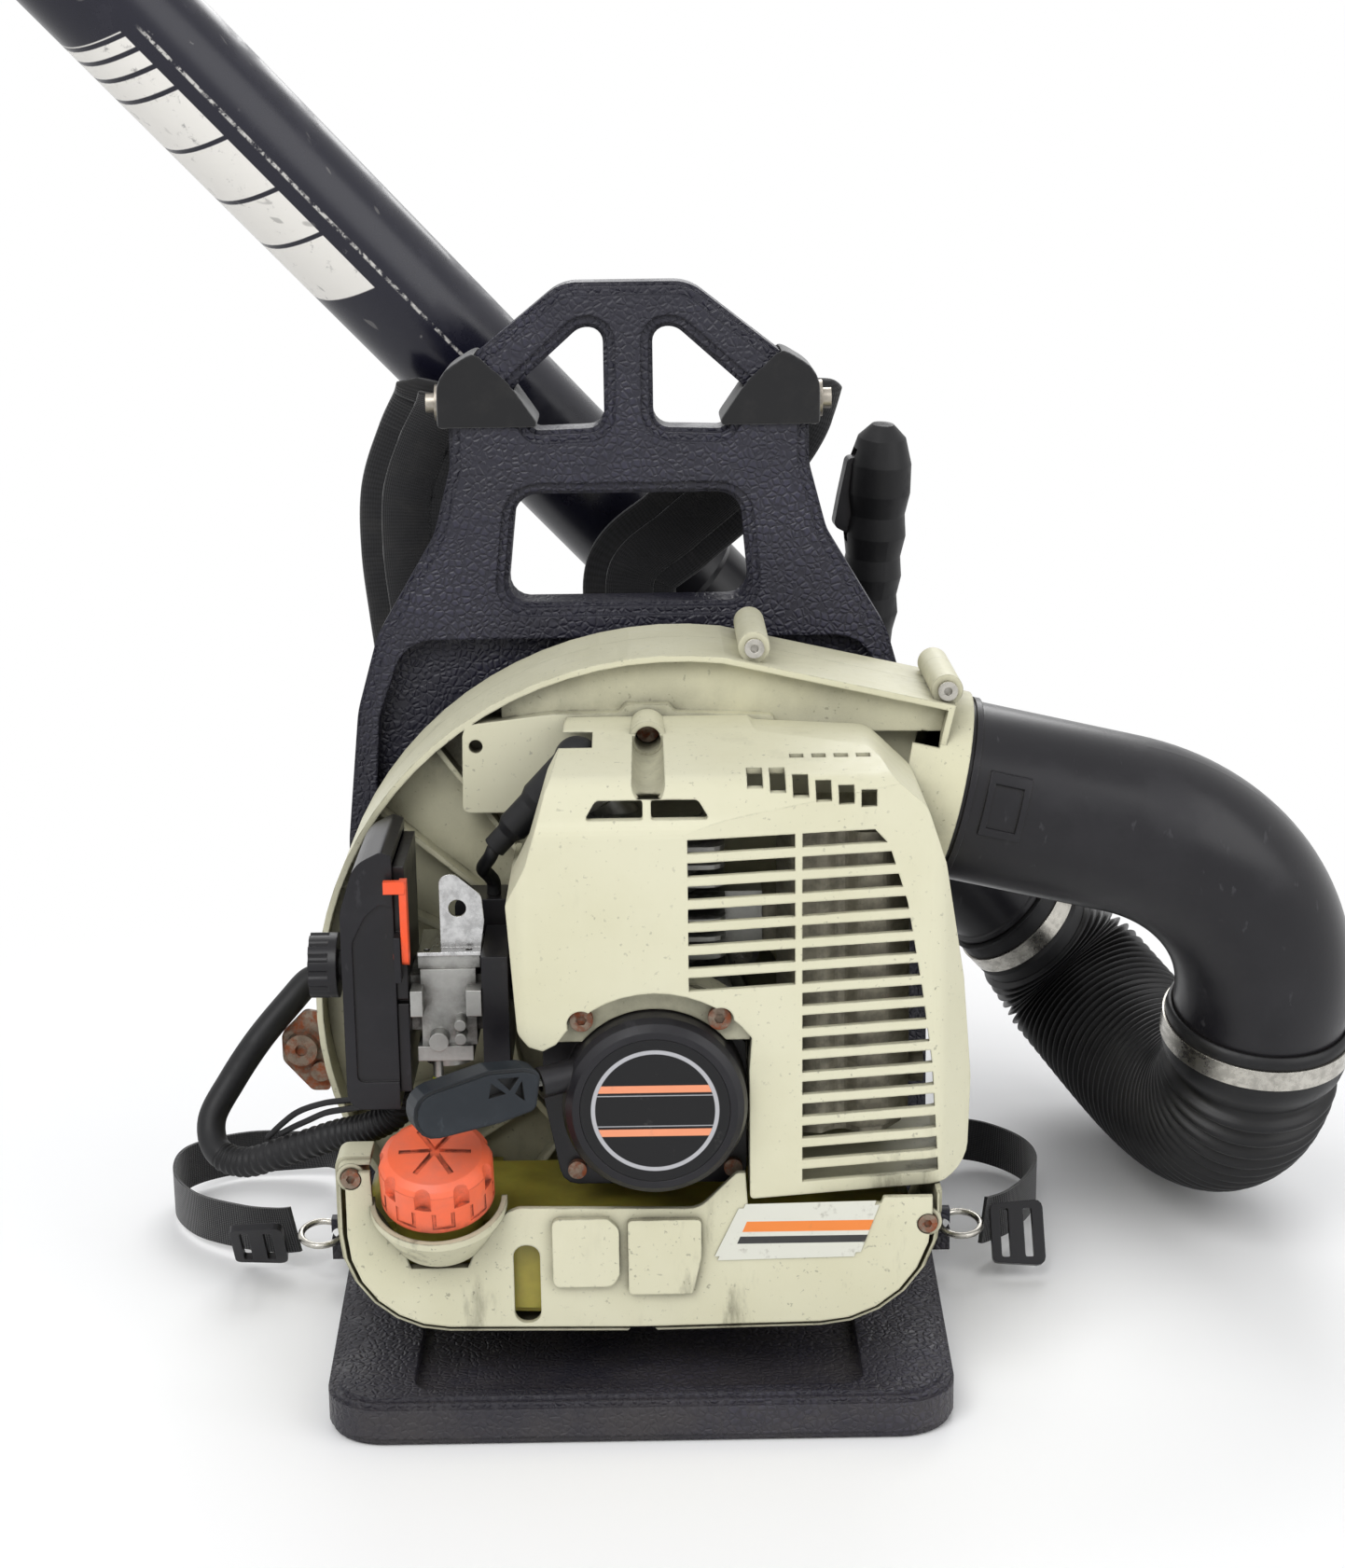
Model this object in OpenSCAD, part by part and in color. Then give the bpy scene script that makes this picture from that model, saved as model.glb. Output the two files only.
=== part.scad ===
// Backpack leaf blower: two-stroke engine, volute fan, ribbed hose and blower pipe on a moulded frame.
// Millimetres. X to the right seen from the engine side, Y towards the wearer, Z up.
// Origin: middle of the base underside, on the plane the blower stands on.

/* [Frame] */
// Height of the carrying frame
frame_h = 500; // [440:5:540]
// Half width of the base at its front edge
base_half = 142; // [120:1:160]
// Height of the base platform
base_t = 22; // [16:1:30]
// Front and back of the upright panel
panel_y0 = 72; // [66:1:80]
panel_y1 = 108; // [100:1:120]
// Rounding of the panel edges, front and back
panel_bevel = 7; // [3:0.5:10]

/* [Fan] */
// Crankshaft axis
crank_x = 8; // [0:1:20]
crank_z = 154; // [145:1:165]
// Scroll radius at its narrow end, and growth per degree of wrap
scroll_r = 118; // [112:1:124]
scroll_growth = 0.235; // [0.2:0.005:0.26]
// Front rim, joint plane and back wall of the fan case
case_y0 = -18; // [-20:1:-12]
case_split = 28; // [20:1:34]
case_y1 = 60; // [54:1:62]
// Wall thickness of the fan case
case_wall = 3; // [2:0.1:4]
// Slope of the outlet below horizontal
outlet_fall = 13; // [8:1:18]
// Impeller radius and number of blades
fan_r = 92; // [80:1:96]
blade_count = 12; // [8:1:16]

/* [Engine cover] */
// Front face of the cover
cover_y = -118; // [-124:1:-112]
// Wall thickness of the cover and the tank guard
cover_wall = 2.6; // [2:0.1:4]
// Grille openings in the left and right columns
grille_left = 7; // [5:1:9]
grille_right = 16; // [11:1:16]
// Height and pitch of the grille openings
slot_h = 6.2; // [4:0.1:7]
slot_pitch = 10.4; // [9:0.1:10.4]

/* [Starter] */
// Radius of the starter dome and of its badge disc
starter_r = 41; // [38:0.5:41]
disc_r = 33; // [28:0.5:34]
// Travel of the starter handle
starter_pull = 450; // [300:10:600]

/* [Fuel] */
// Cap radius, lean towards the front and grip notches
cap_r = 25.5; // [22:0.5:28]
cap_lean = 20; // [10:1:30]
cap_notches = 9; // [6:1:12]

/* [Air duct] */
// Elbow outer radius and wall
elbow_r = 43.5; // [40:0.5:44]
elbow_wall = 2.5; // [2:0.1:3.5]
// Elbow bend radius on its centre line, and angle
bend_r = 99.5; // [85:0.5:115]
bend_angle = 80; // [70:1:90]
// Ribs of the flexible hose, crest and root radius
rib_count = 40; // [30:1:60]
rib_r = 45; // [42:0.5:47]
root_r = 39.5; // [37:0.5:42]
// Outer radius and wall of the blower pipes
pipe_r = 32; // [28:0.5:35]
pipe_wall = 2.5; // [2:0.1:3.5]
// Lengths of the swivel pipe, straight pipe and nozzle
swivel_len = 335; // [280:5:360]
straight_len = 500; // [400:5:560]
nozzle_len = 265; // [200:5:300]

/* [Hidden] */
$fn = 64;
eps = 0.01;
// pipe clamp centre and pipe direction, and the elbow's inlet point
pipe_c = [222, 264, 119];
pipe_d = [-0.656, -0.2167, 0.7229] / norm([-0.656, -0.2167, 0.7229]);
elbow_in = [150, 20, 262];
elbow_tilt = 15;
elbow_tail = 30;
elbow_lead = 88;
// starter rope: a point on its line inside the housing, and the pull direction
rope_p = [6, -100, 172];
rope_d = [-0.917, -0.38, -0.112] / norm([-0.917, -0.38, -0.112]);
cap_c = [-90, -112, 120];
// conduit of the throttle wire, held at both ends, and the two stop wires
conduit_pts = [[-153.2, 33, 165], [-162, 32, 164], [-171, 25, 156], [-186, 14, 140], [-199, 5, 122], [-208, -5, 106],
    [-204, -16, 94], [-189, -26, 92], [-166, -38, 103], [-142, -50, 115], [-125, -58, 122], [-112, -62, 131], [-111, -62, 142.2]];
wire_a = [[-177, -32, 107], [-169, -37, 116], [-160, -42, 124], [-147, -50, 131], [-135, -57, 135], [-127, -62, 138], [-124, -64, 142.8]];
wire_b = [[-170, -36, 110.5], [-163, -40, 115.5], [-156, -44, 120], [-146, -52, 127], [-134, -60, 132], [-124, -67, 136.5], [-121, -68, 142.8]];
// lower straps, from the pad adjuster down to the ring at the base side
lower_l = [[-96, 132, 166], [-100, 135, 130], [-112, 140, 80], [-140, 150, 32], [-180, 168, 19], [-222, 172, 16],
    [-250, 150, 17], [-252, 118, 16], [-236, 88, 16], [-208, 66, 18], [-188, 54, 21], [-178, 48, 24]];
lower_r = [[74, 132, 166], [82, 136, 130], [100, 146, 86], [128, 160, 44], [160, 172, 22], [192, 170, 16],
    [210, 150, 15], [214, 122, 16], [206, 92, 18], [192, 66, 20], [180, 52, 22], [176, 46, 24]];

// ---- helpers ----
module slab(y0, y1) translate([0, y1, 0]) rotate([90, 0, 0]) linear_extrude(y1 - y0) children();
module prism_x(x0, x1) translate([x0, 0, 0]) rotate([90, 0, 90]) linear_extrude(x1 - x0) children();
module cyl_y(x, z, y0, y1, r) translate([x, y0, z]) rotate([-90, 0, 0]) cylinder(h = y1 - y0, r = r);
module cyl_x(y, z, x0, x1, r) translate([x0, y, z]) rotate([0, 90, 0]) cylinder(h = x1 - x0, r = r);
module cyl_z(x, y, z0, z1, r) translate([x, y, z0]) cylinder(h = z1 - z0, r = r);
module box(a, b) translate(a) cube(b - a);
module aim(p, d) translate(p) rotate([0, acos(d[2] / norm(d)), atan2(d[1], d[0])]) children();
module tube(r, w, z0, z1) difference() {
    translate([0, 0, z0]) cylinder(h = z1 - z0, r = r);
    translate([0, 0, z0 - 1]) cylinder(h = z1 - z0 + 2, r = r - w);
}
module both() {
    children();
    mirror([1, 0, 0]) children();
}

function unit(v) = v / norm(v);
function lerp(a, b, t) = a + (b - a) * t;
function wrap(a) = (a + 540) % 360 - 180;
function corner(a, b, c, r, n) = let(u = unit(a - b), v = unit(c - b), h = acos(max(-1, min(1, u * v))) / 2,
    o = b + unit(u + v) * r / sin(h), s = b + u * r / tan(h) - o, e = b + v * r / tan(h) - o,
    s0 = atan2(s[1], s[0]), sweep = wrap(atan2(e[1], e[0]) - s0))
    [for (i = [0:n]) o + r * [cos(s0 + sweep * i / n), sin(s0 + sweep * i / n)]];
// closed outline whose corners [x, y, r] are rounded
function soft(p, n = 5) = let(m = len(p)) [for (i = [0:m - 1])
    let(a = p[(i + m - 1) % m], b = p[i], c = p[(i + 1) % m])
    each b[2] < 0.05 ? [[b[0], b[1]]] : corner([a[0], a[1]], [b[0], b[1]], [c[0], c[1]], b[2], n)];
// the same outline drawn in by d all round; counter-clockwise corners
function drawn_in(p, d) = let(m = len(p)) [for (i = [0:m - 1])
    let(a = p[(i + m - 1) % m], b = p[i], c = p[(i + 1) % m],
        u = unit([b[0] - a[0], b[1] - a[1]]), v = unit([c[0] - b[0], c[1] - b[1]]),
        nu = [-u[1], u[0]], nv = [-v[1], v[0]], turn = u[0] * v[1] - u[1] * v[0],
        q = (nu + nv) * d / (1 + nu * nv))
    [b[0] + q[0], b[1] + q[1], b[2] < 0.05 ? 0 : max(0.5, b[2] + (turn > 0 ? -d : d))]];

// point and heading on a smooth route through points p, s from 0 to 1
function route(p, s) = let(m = len(p) - 1, f = min(m - 0.0001, s * m), i = floor(f), t = f - i,
    a = p[max(0, i - 1)], b = p[i], c = p[i + 1], d = p[min(m, i + 2)])
    0.5 * (2 * b + (c - a) * t + (2 * a - 5 * b + 4 * c - d) * t * t + (3 * b - a - 3 * c + d) * t * t * t);
function along(p, n) = [for (i = [0:n]) route(p, i / n)];
function headings(q) = [for (i = [0:len(q) - 1]) unit(q[min(len(q) - 1, i + 1)] - q[max(0, i - 1)])];
function perp(v, h) = unit(v - h * (v * h));
function frames(h, k) = k == 0 ? [perp([0.13, 0.31, 1], h[0])] :
    let(f = frames(h, k - 1)) concat(f, [perp(f[k - 1], h[k])]);
function chunk_frames(h) = frames(h, len(h) - 1);

// round bar through the points q, radius r, n sides
module bar(q, r, n = 8) {
    h = headings(q);
    u = chunk_frames(h);
    m = len(q);
    pts = [for (i = [0:m - 1]) let(v = cross(h[i], u[i])) for (j = [0:n - 1])
        q[i] + r * (u[i] * cos(360 * j / n) + v * sin(360 * j / n))];
    polyhedron(pts, concat(
        [[for (j = [0:n - 1]) j]], [[for (j = [n - 1:-1:0]) (m - 1) * n + j]],
        [for (i = [0:m - 2]) for (j = [0:n - 1]) [i * n + j, (i + 1) * n + j, (i + 1) * n + (j + 1) % n]],
        [for (i = [0:m - 2]) for (j = [0:n - 1]) [i * n + j, (i + 1) * n + (j + 1) % n, i * n + (j + 1) % n]]));
}

// flat webbing along q; w holds the width direction at each point
module webbing(q, w, width, thick) {
    h = headings(q);
    m = len(q);
    pts = [for (i = [0:m - 1]) let(a = perp(w[i], h[i]), b = cross(h[i], a)) for (k = [[-1, -1], [1, -1], [1, 1], [-1, 1]])
        q[i] + a * k[0] * width / 2 + b * k[1] * thick / 2];
    polyhedron(pts, concat([[0, 1, 2, 3]], [[m * 4 - 1, m * 4 - 2, m * 4 - 3, m * 4 - 4]],
        [for (i = [0:m - 2]) for (j = [0:3]) [i * 4 + j, (i + 1) * 4 + j, (i + 1) * 4 + (j + 1) % 4]],
        [for (i = [0:m - 2]) for (j = [0:3]) [i * 4 + j, (i + 1) * 4 + (j + 1) % 4, i * 4 + (j + 1) % 4]]));
}

// stacked closed rings of equal count, ends capped
module loft(rings) {
    m = len(rings);
    n = len(rings[0]);
    polyhedron([for (r = rings) each r], concat([[for (j = [0:n - 1]) j]], [[for (j = [n - 1:-1:0]) (m - 1) * n + j]],
        [for (i = [0:m - 2]) for (j = [0:n - 1]) [i * n + j, (i + 1) * n + j, (i + 1) * n + (j + 1) % n]],
        [for (i = [0:m - 2]) for (j = [0:n - 1]) [i * n + j, (i + 1) * n + (j + 1) % n, i * n + (j + 1) % n]]));
}

// ---- carrying frame ----
frame_line = [[-150, 0, 5], [150, 0, 5], [149, 120, 60], [145, 225, 60], [138, 290, 60], [127, 328, 40],
    [97, 378, 40], [88, 412, 30], [88, 455, 20], [30, frame_h, 22], [-32, frame_h, 22], [-88, 455, 20],
    [-88, 412, 30], [-97, 378, 40], [-127, 328, 40], [-138, 290, 60], [-145, 225, 60], [-149, 120, 60]];
window_l = [[-58, 448, 3], [-46, 429, 5], [-12, 430, 8], [-12, 478, 7], [-23, 479, 10]];
window_r = [[12, 430, 8], [46, 429, 5], [58, 448, 3], [23, 479, 10], [12, 478, 7]];
window_mid = [[-62, 344, 10], [59, 344, 10], [54, 398, 12], [-56, 398, 12]];

module frame_shape(d) difference() {
    polygon(soft(drawn_in(frame_line, d), 6));
    polygon(soft(drawn_in(window_l, -d), 5));
    polygon(soft(drawn_in(window_r, -d), 5));
    polygon(soft(drawn_in(window_mid, -d), 5));
}

module base_shape(d) polygon(soft(drawn_in([[-base_half, -138, 27], [base_half, -138, 27],
    [150, panel_y1, 20], [-150, panel_y1, 20]], d), 8));

module back_frame() color([0.14, 0.14, 0.16]) difference() {
    union() {
        slab(panel_y0 + panel_bevel, panel_y1 - panel_bevel) frame_shape(0);
        slab(panel_y0 + panel_bevel / 3, panel_y1 - panel_bevel / 3) frame_shape(panel_bevel * 0.3);
        slab(panel_y0, panel_y1) frame_shape(panel_bevel * 0.85);
        translate([0, 0, 4]) linear_extrude(base_t - 8) base_shape(0);
        translate([0, 0, 1]) linear_extrude(base_t - 2.5) base_shape(1.5);
        linear_extrude(base_t) base_shape(5);
        // side rails that stiffen the base towards the panel
        both() prism_x(112, 136) polygon([[20, base_t - 3], [64, base_t - 3], [panel_y0 + 4, 70], [panel_y0 + 4, base_t - 3]]);
        // lugs for the lower strap rings
        both() box([140, 37, 12], [158, 43, 34]);
    }
    // hollow behind the engine, with a ledge across the panel
    slab(panel_y0 - 1, panel_y0 + 12) polygon(soft([[-108, base_t + 12, 12], [108, base_t + 12, 12],
        [122, 120, 40], [131, 225, 40], [127, 288, 24], [116, 327, 20], [-113, 327, 20], [-127, 288, 24], [-131, 225, 40],
        [-122, 120, 40]], 6));
    // sunk deck of the base
    translate([0, 0, base_t - 6]) linear_extrude(20) polygon(soft([[-103, -126, 10], [101, -126, 10],
        [101, panel_y0 + 2, 6], [-103, panel_y0 + 2, 6]], 4));
    both() cyl_y(154, 25, 30, 50, 4.2);
    // bolt pockets of the rubber mounts
    for (x = [-95, 95]) {
        cyl_y(x, 250, 96, 120, 8);
        cyl_y(x, 250, 80, 120, 3.1);
    }
    for (x = [-70, 70]) {
        cyl_z(x, 28, -1, 6, 8);
        cyl_z(x, 28, -1, 20, 3.1);
    }
    // pivot holes of the shoulder strap bolts
    both() cyl_x(90, 428, 70, 100, 3.1);
}

pad_line = [[-112, 60, 26], [112, 60, 26], [108, 250, 40], [84, 330, 26], [-84, 330, 26], [-108, 250, 40]];
module pad_half(y0, line, rise) loft([for (k = [[0, 2], [0.12, 0], [0.55, 1.2], [0.8, 5], [0.95, 12], [1, 22]])
    let(p = soft(drawn_in(line, k[1]), 5), c = len(p)) [for (j = [c - 1:-1:0]) [p[j][0], y0 + rise * k[0], p[j][1]]]]);
module back_pad() color([0.2, 0.2, 0.22]) {
    pad_half(panel_y1 + 0.05, [[-58, 66, 24], [-20, 66, 16], [-20, 322, 16], [-76, 322, 22], [-92, 200, 60]], 15);
    pad_half(panel_y1 + 0.05, [[20, 66, 16], [58, 66, 24], [92, 200, 60], [76, 322, 22], [20, 322, 16]], 15);
}

sleeve_line = [[42.6, 431.2, 2], [93, 431.2, 2], [93, 457, 16], [74, 468.5, 6], [57, 452, 2]];
module strap_sleeves() color([0.1, 0.1, 0.12]) both() difference() {
    slab(panel_y0 - 2.4, panel_y1 + 2.4) polygon(soft(sleeve_line, 4));
    slab(panel_y0 - 0.4, panel_y1 + 0.4) frame_shape(-0.5);
    slab(panel_y0 - 0.4, panel_y1 + 0.4) polygon([[55, 429], [86, 429], [86, 456], [64, 470], [59, 449]]);
    cyl_x(90, 442, 80, 110, 3.4);
}

strap_l = [[-92, 118, 448], [-96, 127, 436], [-105, 133, 418], [-114, 134, 392], [-115, 133, 362], [-112, 132, 330],
    [-108, 131, 296], [-104, 131, 260], [-100, 131, 220], [-98, 131, 178]];
strap_r = [[86, 118, 448], [82, 127, 436], [70, 129, 416], [50, 130, 394], [24, 130, 372], [0, 130, 350],
    [4, 131, 316], [28, 131, 280], [54, 131, 236], [72, 131, 178]];
module padded_strap(p, tilt) {
    q = along(p, 26);
    h = headings(q);
    loft([for (i = [0:26]) let(e = min(1, 0.35 + min(i, 26 - i) / 3.5), a = perp([1, 0, tilt], h[i]), b = cross(h[i], a))
        [for (j = [0:11]) let(c = cos(30 * j), s = sin(30 * j)) q[i] +
            a * 24 * sign(c) * pow(abs(c), 0.5) * min(1, e + 0.25) + b * 4.6 * sign(s) * pow(abs(s), 0.7) * e]]);
}
module shoulder_strap_left() color([0.1, 0.1, 0.12]) padded_strap(strap_l, -0.15);
module shoulder_strap_right() color([0.1, 0.1, 0.12]) padded_strap(strap_r, 0.3);

module strap_bolts() color([0.5, 0.33, 0.22]) both() {
    cyl_x(90, 442, 93.1, 95, 9);
    cyl_x(90, 442, 95, 99.5, 5);
    cyl_x(90, 442, 88.3, 95, 2.8);
}

module lower_strap(p, s) {
    q = along(p, 46);
    webbing(q, [for (i = [0:46]) let(t = i / 46) t < 0.3 ? [1, 0, 0] : t < 0.42 ? [1 - (t - 0.3) / 0.12, -s * (t - 0.3) / 0.12 * 0.5, (t - 0.3) / 0.12] : [0, 0, 1]], 24, 1.8);
}
module lower_straps() color([0.1, 0.1, 0.12]) {
    lower_strap(lower_l, 1);
    lower_strap(lower_r, -1);
}

module buckle_plate() difference() {
    slab(-2, 2) polygon(soft([[-15, -15, 3], [15, -15, 3], [17, 12, 4], [-17, 12, 4]], 3));
    for (z = [-8, 4]) slab(-3, 3) polygon(soft([[-12.5, z - 2.2, 1], [12.5, z - 2.2, 1], [12.5, z + 2.2, 1], [-12.5, z + 2.2, 1]], 2));
}
module strap_buckles() color([0.12, 0.12, 0.13]) {
    translate([-194, 38, 21]) rotate([0, 90, 0]) rotate([0, 0, 35]) buckle_plate();
    translate([194, 36, 21]) rotate([0, 90, 0]) rotate([0, 0, -35]) buckle_plate();
}

module strap_rings() color([0.75, 0.74, 0.7]) both() translate([163.5, 40, 25]) rotate([12, 0, 0])
    rotate_extrude() translate([10.5, 0]) circle(r = 1.7, $fn = 24);

module vibration_mounts() color([0.09, 0.09, 0.1]) {
    for (x = [-95, 95]) difference() {
        cyl_y(x, 250, case_y1 + 0.05, panel_y0 + 11.95, 13);
        cyl_y(x, 250, 72, 90, 3.1);
    }
    for (x = [-70, 70]) difference() {
        cyl_z(x, 28, base_t - 5.95, 29.95, 12);
        cyl_z(x, 28, 10, 26, 3.1);
    }
}
module mount_bolts() color([0.45, 0.44, 0.42]) {
    for (x = [-95, 95]) {
        cyl_y(x, 250, 73, 97, 3);
        cyl_y(x, 250, 96.1, 101, 6.2);
    }
    for (x = [-70, 70]) {
        cyl_z(x, 28, 3, 25, 3);
        cyl_z(x, 28, 1.5, 5.9, 6.2);
    }
    for (p = engine_feet) {
        cyl_y(p[0], p[1], -14, 2.5, 3);
        cyl_y(p[0], p[1], -15.5, -10.05, 5.4);
    }
}

// ---- fan ----
crank = [crank_x, crank_z];
engine_feet = [[crank_x - 42, 118], [crank_x + 42, 118], [crank_x - 42, 190], [crank_x + 42, 190]];
out_o = [140, 264.4];
out_d = [cos(outlet_fall), -sin(outlet_fall)];
out_n = [sin(outlet_fall), cos(outlet_fall)];
function scroll(off, a, b, n) = [for (i = [0:n]) let(t = a + (b - a) * i / n, r = scroll_r + scroll_growth * t - off)
    crank + r * [cos(t), -sin(t)]];
function scroll_line(off) = concat(scroll(off, 0, 281, 60),
    [out_o - out_d * off + out_n * (47 - off), out_o - out_d * off - out_n * (47 - off), out_o - out_n * (47 - off) - out_d * (20 + off)]);
module scroll_shape(off, floor) intersection() {
    polygon(scroll_line(off));
    translate([-200, floor]) square([400, 400]);
}
module outlet(a, b, r) translate([out_o[0] + out_d[0] * a, 20, out_o[1] + out_d[1] * a])
    rotate([0, 90 + outlet_fall, 0]) cylinder(h = b - a, r = r);
bosses = [[57, 338], [147, 316.5], [-111.8, 57.2], [107.9, 70.2], [121.5, 190]];
module boss_row(y0, y1, r) for (b = bosses) cyl_y(b[0], b[1], y0, y1, r);
// webs that tie the bosses to the slimmer wall behind the rim
module boss_webs(y0, y1) for (b = bosses) let(d = (crank - b) / norm(crank - b), n = [-d[1], d[0]])
    slab(y0, y1) polygon([b + n * 5, b + d * 30 + n * 9, b + d * 30 - n * 9, b - n * 5]);

module case_body(y0, y1, inner0, inner1) difference() {
    union() {
        slab(y0, y1) scroll_shape(0, 30);
        intersection() {
            outlet(-16, 12, 47);
            box([0, y0 - (y0 < 0 ? 20 : 0), 100], [260, y1 + (y0 < 0 ? 0 : 20), 400]);
        }
        boss_row(max(y0, -12), min(y1, 52), 7.4);
    }
    slab(inner0, inner1) scroll_shape(case_wall, 30 + case_wall);
    outlet(-12, 14, 43.8);
    boss_row(-30, 80, 2.6);
    boss_row(-30, -12, 5.2);
}

rib_angles = [112, 126, 140, 154, 168, 196, 214, 232, 250, 292, 312];
module fan_case_front() color([0.86, 0.86, 0.76]) difference() {
    union() {
        difference() {
            case_body(case_y0, case_split, 3.5, 40);
            // dished front, open towards the engine
            difference() {
                slab(case_y0 - 1, 0) scroll_shape(case_wall, 30 + case_wall);
                // radial ribs
                for (a = rib_angles) translate([crank_x, 0, crank_z]) rotate([0, -a, 0]) box([68, -10, -1.25], [200, 1, 1.25]);
                // raised plate that carries the top of the cover
                slab(case_y0, 1) polygon(soft([[-80, 262, 3], [-40, 262, 3], [-40, 288, 3], [66, 288, 3], [66, 307, 3],
                    [20, 309, 3], [17, 313, 2], [-3, 313, 2], [-6, 309, 3], [-36, 309, 3], [-79, 304, 6]], 3));
                // filled face between the plate and the rim
                slab(-11, 1) polygon([[-61, 300], [190, 296], [190, 400], [-61, 400]]);
                slab(-14, 1) difference() {
                    circle_at(crank_x, crank_z, 70);
                    circle_at(crank_x, crank_z, 67);
                }
            }
        }
    }
    cyl_y(crank_x, crank_z, -20, 10, 10);
    cyl_y(-73, 294, -20, -8, 3.2);
    cyl_y(tower[0], tower[1], -20, -4, 2.1);
    for (p = engine_feet) cyl_y(p[0], p[1], -20, 3, 3.1);
}
module circle_at(x, y, r) translate([x, y]) circle(r = r);

module fan_case_rear() color([0.8, 0.8, 0.7]) difference() {
    union() {
        case_body(case_split + 0.05, case_y1, 20, case_y1 - case_wall);
        cyl_y(crank_x, crank_z, case_y1 - 3, case_y1 + 2, 62);
        for (x = [-95, 95]) cyl_y(x, 250, case_y1 - 3, case_y1, 18);
    }
    cyl_y(crank_x, crank_z, 50, 70, 56.3);
}
module fan_case_screws() color([0.62, 0.6, 0.56]) for (b = bosses) {
    cyl_y(b[0], b[1], -12, 50, 2.5);
    difference() {
        cyl_y(b[0], b[1], -15.5, -12.02, 4.6);
        cyl_y(b[0], b[1], -16, -13.5, 1.9);
    }
}
module intake_grille() color([0.13, 0.13, 0.14]) difference() {
    slab(case_y1 - 2.5, case_y1 + 1.5) difference() {
        circle_at(crank_x, crank_z, 56);
        for (r = [48, 38, 28]) difference() {
            circle_at(crank_x, crank_z, r + 3.2);
            circle_at(crank_x, crank_z, r - 3.2);
            for (a = [0:7]) translate(crank) rotate(22.5 + a * 45) translate([0, -1.6]) square([60, 3.2]);
        }
        difference() {
            circle_at(crank_x, crank_z, 20);
            circle_at(crank_x, crank_z, 13);
            for (a = [0:7]) translate(crank) rotate(22.5 + a * 45) translate([0, -1.6]) square([60, 3.2]);
        }
    }
}

function blade(k) = let(a0 = 360 / blade_count * k,
    f = function(t, w) let(r = lerp(46, fan_r - 1.2, t), a = a0 - 42 * t + w * 57.3 / r) r * [cos(a), sin(a)])
    concat([for (i = [0:7]) f(i / 7, 1.1)], [for (i = [7:-1:0]) f(i / 7, -1.1)]);
module fan() color([0.6, 0.6, 0.62]) difference() {
    union() {
        cyl_y(crank_x, crank_z, 9, 12, fan_r);
        cyl_y(crank_x, crank_z, 9, 38, 15);
        translate([crank_x, 0, crank_z]) slab(11.5, 46.6) for (k = [0:blade_count - 1]) polygon(blade(k));
        slab(46, 48.5) difference() {
            circle_at(crank_x, crank_z, fan_r);
            circle_at(crank_x, crank_z, 56);
        }
    }
    cyl_y(crank_x, crank_z, 0, 60, 7.55);
}
module crankshaft() color([0.6, 0.6, 0.6]) difference() {
    union() {
        cyl_y(crank_x, crank_z, -97, -52, 7.5);
        cyl_y(crank_x, crank_z, -44, 42, 7.5);
        cyl_y(crank_x, crank_z, -60, -52, 27);
        cyl_y(crank_x, crank_z, -44, -36, 27);
        cyl_y(crank_x, crank_z + 15, -53, -43, 6);
        // nut that holds the impeller
        translate([crank_x, 0, crank_z]) slab(38.1, 45) circle(r = 11, $fn = 6);
    }
}
module crank_bearings() color([0.7, 0.7, 0.72]) for (y = [[-76, -66], [-30, -20]]) difference() {
    cyl_y(crank_x, crank_z, y[0], y[1], 15.95);
    cyl_y(crank_x, crank_z, y[0] - 1, y[1] + 1, 7.53);
    difference() {
        cyl_y(crank_x, crank_z, y[0] - 1, y[0] + 1, 13.5);
        cyl_y(crank_x, crank_z, y[0] - 2, y[0] + 2, 10);
    }
}
module starter_hub() color([0.5, 0.5, 0.52]) difference() {
    union() {
        cyl_y(crank_x, crank_z, -96, -86, 12);
        cyl_y(crank_x, crank_z, -91, -87, 21);
        for (a = [0, 180]) translate([crank_x, 0, crank_z]) rotate([0, a, 0]) box([9, -95, -4], [20, -90, 4]);
    }
    cyl_y(crank_x, crank_z, -100, -80, 7.53);
}

// ---- engine ----
module crankcase() color([0.62, 0.62, 0.62]) difference() {
    union() {
        cyl_y(crank_x, crank_z, -84, -10, 38);
        for (p = starter_bolts) cyl_y(p[0], p[1], -84, -66, 6);
        slab(-84, -66) polygon([[-30, 120], [44, 120], [44, 150], [-28, 150]]);
        cyl_y(crank_x, crank_z, -12, -0.05, 48);
        slab(-78, -18) polygon(soft([[-28, 150, 4], [44, 150, 4], [44, 192, 4], [-28, 192, 4]], 3));
        for (p = [[crank_x - 32, 192], [crank_x + 29, 192]]) cyl_y(p[0], p[1], -84, -72.5, 7);
        for (p = engine_feet) cyl_y(p[0], p[1], -10, -0.05, 9);
        for (a = [200:35:340]) translate([crank_x, 0, crank_z]) rotate([0, -a, 0]) box([30, -70, -2], [46, -11, 2]);
    }
    cyl_y(crank_x, crank_z, -66, -30, 29);
    cyl_y(crank_x, crank_z, -76, -20, 16);
    cyl_y(crank_x, crank_z, -90, 10, 8.5);
    cyl_z(crank_x, -48, 150, 200, 17);
    for (p = [[crank_x - 32, 192], [crank_x + 29, 192]]) cyl_y(p[0], p[1], -90, -74, 2.1);
    for (p = starter_bolts) cyl_y(p[0], p[1], -90, -76, 2.1);
    for (p = engine_feet) cyl_y(p[0], p[1], -20, 3, 3.1);
}
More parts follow.
